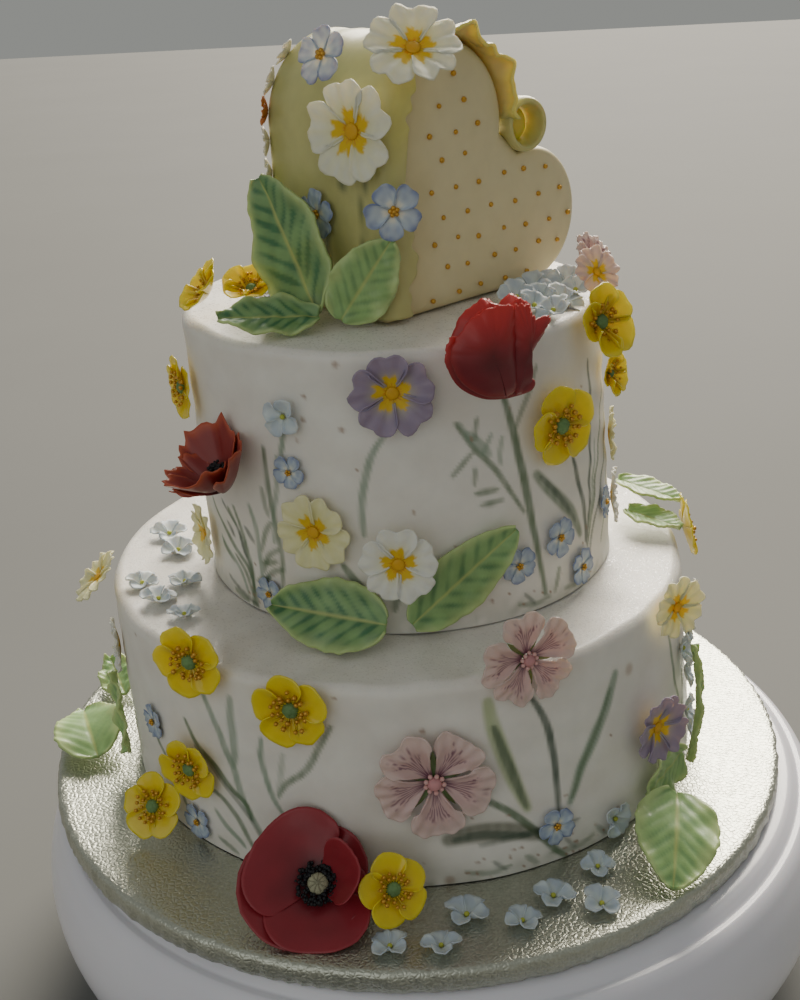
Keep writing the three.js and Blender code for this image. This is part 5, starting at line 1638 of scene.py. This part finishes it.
def drape_section(lip, fold, ruffle):
    """Corners (across, away) of the drape's outer face at one step."""
    back = [(-DEPTH - REACH, -BEVEL - 3), *quarter(BEVEL - DEPTH, 180, 90)]
    level = [(w, REACH) for w in np.linspace(BEVEL - DEPTH + 8, -BEVEL - 8, 5)]
    down = -max(fold, BEVEL + 1)
    over = [*quarter(-BEVEL, 90, 0), (REACH, (down - BEVEL) / 2), (REACH - 0.3, down)]
    wrapped = np.array([*back, *level, *over])
    rolled = [(-BEVEL, REACH), (-3.4, REACH + 0.1), (-1.8, REACH + 0.3), (-0.2, REACH + 0.6 + 0.4 * ruffle)]
    rolled += [(1.6, REACH + 1.0 + 0.7 * ruffle), (4.2, REACH + 1.5 + ruffle)]
    rolled += [(6.4, REACH + 1.2 + 1.2 * ruffle)]
    flared = np.array([*back, *level, *rolled])
    return eased(blend(wrapped, flared, lip), 3)


print("a wrapped section has", len(drape_section(0, 10, 0)), "points")

# %% [markdown]
# The sheet climbs the left side in even steps and then goes round the upper lobe, from its left to
# its right. It is held a little away from the heart by soft folds, which run along it.

# %% The drape's way round the heart
drape_rows = []
for v in np.linspace(2, 57, 46):
    fold = 9.6 - 2.6 * np.cos(v / 9) + 1.4 * np.sin(v / 2.9) + 0.9 * np.sin(v / 1.3)
    drape_rows.append((LEFT, v, (-1, 0), drape_section(0, fold, 0)))
for step in np.linspace(0, 12, 100)[1:]:
    angle = np.radians(180 - 182 * step / 12)
    out = (np.cos(angle), np.sin(angle))
    lip = float(smooth(2, 5, step))
    ruffle = 1.9 * np.sin(step * 2.1) + 1.1 * np.sin(step * 4.7) + 0.4 * np.sin(step * 9.1)
    u, v = UPPER_LOBE[0] + UPPER_LOBE[2] * out[0], UPPER_LOBE[1] + UPPER_LOBE[2] * out[1]
    drape_rows.append((u, v, out, drape_section(lip, 10 + 1.3 * np.sin(5 * step), ruffle)))

drape_grid, drape_normals = [], []
for k, (u, v, out, section) in enumerate(drape_rows):
    w, away = section[:, 0], section[:, 1].copy()
    level = smooth(-DEPTH - 2, -DEPTH + 12, w) * smooth(4, -12, w)
    folds = 0.6 + 0.4 * np.sin(w * 0.27 + 0.9 * np.sin(k * 0.05)) + 0.25 * np.sin(w * 0.11 + k * 0.06)
    away -= level * folds
    slope = np.gradient(section, axis=0)
    slope /= np.maximum(np.linalg.norm(slope, axis=1, keepdims=True), 1e-9)
    drape_grid.append(np.column_stack([u + out[0] * away, v + out[1] * away, w]))
    drape_normals.append(np.column_stack([out[0] * slope[:, 0], out[1] * slope[:, 0], -slope[:, 1]]))
u, v, w = np.moveaxis(np.array(drape_grid), -1, 0)
drape_points = heart_point(u[..., None], v[..., None], w[..., None])
drape_facing = np.array(drape_normals) @ np.column_stack([HEART_ALONG, UP, HEART_FACE]).T
print("drape grid of", drape_points.shape[:2], "points")

# %% [markdown]
# The paste is yellow. Painted shade darkens it in soft bands over the folds, away from the face,
# and a painted glow lightens the lip, where light comes through it. Three painted stalks climb its
# left side.

# %% The drape's paint
STALKS = [(-13, 0.03, 3, 72), (-26, 0.01, 52, 98), (-33, -0.1, 2, 40)]

band = 0.5 + 0.5 * np.sin(w * 0.2 + 0.03 * v)
# Painted shade: soft bands of a deeper yellow over the folds, behind the front face.
drape_paint = mingle(DRAPE, DRAPE_FOLD_SHADE, 0.4 * band * smooth(2, -10, w))
# Painted glow: the lip is lightened where light comes through the paste.
drape_paint = mingle(drape_paint, DRAPE_PAINTED_GLOW, 0.5 * smooth(0, 4, w) * (v > 60))
for middle_w, slant, low, high in STALKS:
    off = np.abs(w - middle_w - slant * v + 0.4 * np.sin(v * 0.3))
    stalk = smooth(2.0, 0.5, off) * smooth(low - 2, low + 2, v) * smooth(high + 2, high - 2, v)
    drape_paint = mingle(drape_paint, DEEP_GREEN, 0.85 * stalk * (u < LEFT + 1))

drape = Piece()
sheet_thick = (REACH - LINING) * 0.8 + 0 * band
drape.sheet(drape_points[::-1], sheet_thick, drape_paint[::-1], normal=drape_facing[::-1])
print("drape sheet of", len(drape.faces), "faces")

# %% [markdown]
# The rolled loop is a thick band of the same paste, bent round and closed, with a yellow ball of
# paste inside it. Five tiny blossoms sit along the heart's back edge; the third one is brown.

# %% The rolled loop and the blossoms on the edge
LOOP_PROFILE = [
    (6.2, -7.4), (7.6, -7.6), (8.5, -5), (8.7, 0), (8.9, 5), (8.2, 7.4), (7.0, 7.5), (6.4, 5), (5.9, 0),
    (5.6, -5), (6.2, -7.4),
]
EDGE_CREAM, EDGE_BROWN, EDGE_MIDDLE = tint(0xe6dfc8), tint(0xb0642c), tint(0xd8cda8)
EDGE_HEIGHTS = (56, 69, 81, 92, 102)

loop_middle = heart_point(UPPER_LOBE[0] + UPPER_LOBE[2] + 12.6, UPPER_LOBE[1] - 5, -3)
turn = np.linspace(0, 2 * np.pi, 64, endpoint=False)[None, :]
profile = 1.12 * eased(LOOP_PROFILE, 3)
loop_u = profile[:, :1] * np.cos(turn)
loop_v = profile[:, :1] * np.sin(turn) * (1.16 + 0.06 * np.sin(turn))
loop_w = profile[:, 1:] + 0.5 * np.sin(2 * turn) + 0 * loop_u
lean = np.radians(-15)
along = loop_u * np.cos(lean) + loop_w * np.sin(lean)
out = loop_w * np.cos(lean) - loop_u * np.sin(lean)
loop_points = loop_middle + along[..., None] * HEART_ALONG
loop_points = loop_points + loop_v[..., None] * UP + out[..., None] * HEART_FACE
# Painted glow: the loop's inner face, and the ball of paste inside it, take the paler yellow that stands for
# light coming through the paste.
inner = smooth(7.4, 6.2, profile[:, :1] + 0 * turn)
drape.grid(loop_points[::-1], mingle(DRAPE, DRAPE_PAINTED_GLOW, inner[::-1]), around=True)
drape.ball(loop_middle - 5.5 * HEART_FACE, (7.4, 3.2, 8.4), DRAPE_PAINTED_GLOW, 0, 3)


def edge_paint(colour):
    """The painter of one tiny blossom, a little yellower in its middle."""
    def paint_petal(along, across, seed):
        return mingle(colour, EDGE_MIDDLE, 0.5 * smooth(0.4, 0, along) + 0 * across)

    return paint_petal


for k, v in enumerate(EDGE_HEIGHTS):
    away = np.arcsin(np.clip((v - UPPER_LOBE[1]) / UPPER_LOBE[2], 0, 1))
    u = UPPER_LOBE[0] - UPPER_LOBE[2] * np.cos(away)
    outwards = -np.cos(away) * HEART_ALONG + np.sin(away) * UP - 0.8 * HEART_FACE
    blossom = petal_ring(
        Piece(), 5, 6.2, edge_paint(EDGE_BROWN if k == 2 else EDGE_CREAM), lift=0.5, thickness=0.7, finish=1,
        seed=960 + 15 * k, half_angle=38, valley=0.6, rows=8, columns=9,
    )
    drape.join(blossom, seat(heart_point(u - 1, v, 1.5 - DEPTH) + outwards, outwards, UP, 30 * k))
serve("heart_drape_paste", drape, [drape_paste, petal_paste], "heart_drape")
print("drape with its loop and blossoms", len(drape.faces), "faces")

# %% [markdown]
# The floor is a plain grey sheet, so wide that its edge isn't seen from the cake's own height.

# %% The floor
FLOOR_HALF_MM = 6000

floor = Piece()
floor_side = np.linspace(-FLOOR_HALF_MM, FLOOR_HALF_MM, 9)
floor_x, floor_y = np.meshgrid(floor_side, -floor_side)
floor.grid(np.stack([floor_x, floor_y, np.zeros_like(floor_x)], -1), tint(0xcccccc))
floor_mesh = bpy.data.meshes.new("floor")
floor_mesh.from_pydata((np.concatenate(floor.points) / 1000).tolist(), [], floor.faces)
floor_mesh.materials.append(matt)
floor_object = bpy.data.objects.new("floor", floor_mesh)
bpy.context.scene.collection.objects.link(floor_object)
print("floor of", 2 * FLOOR_HALF_MM / 1000, "metres")
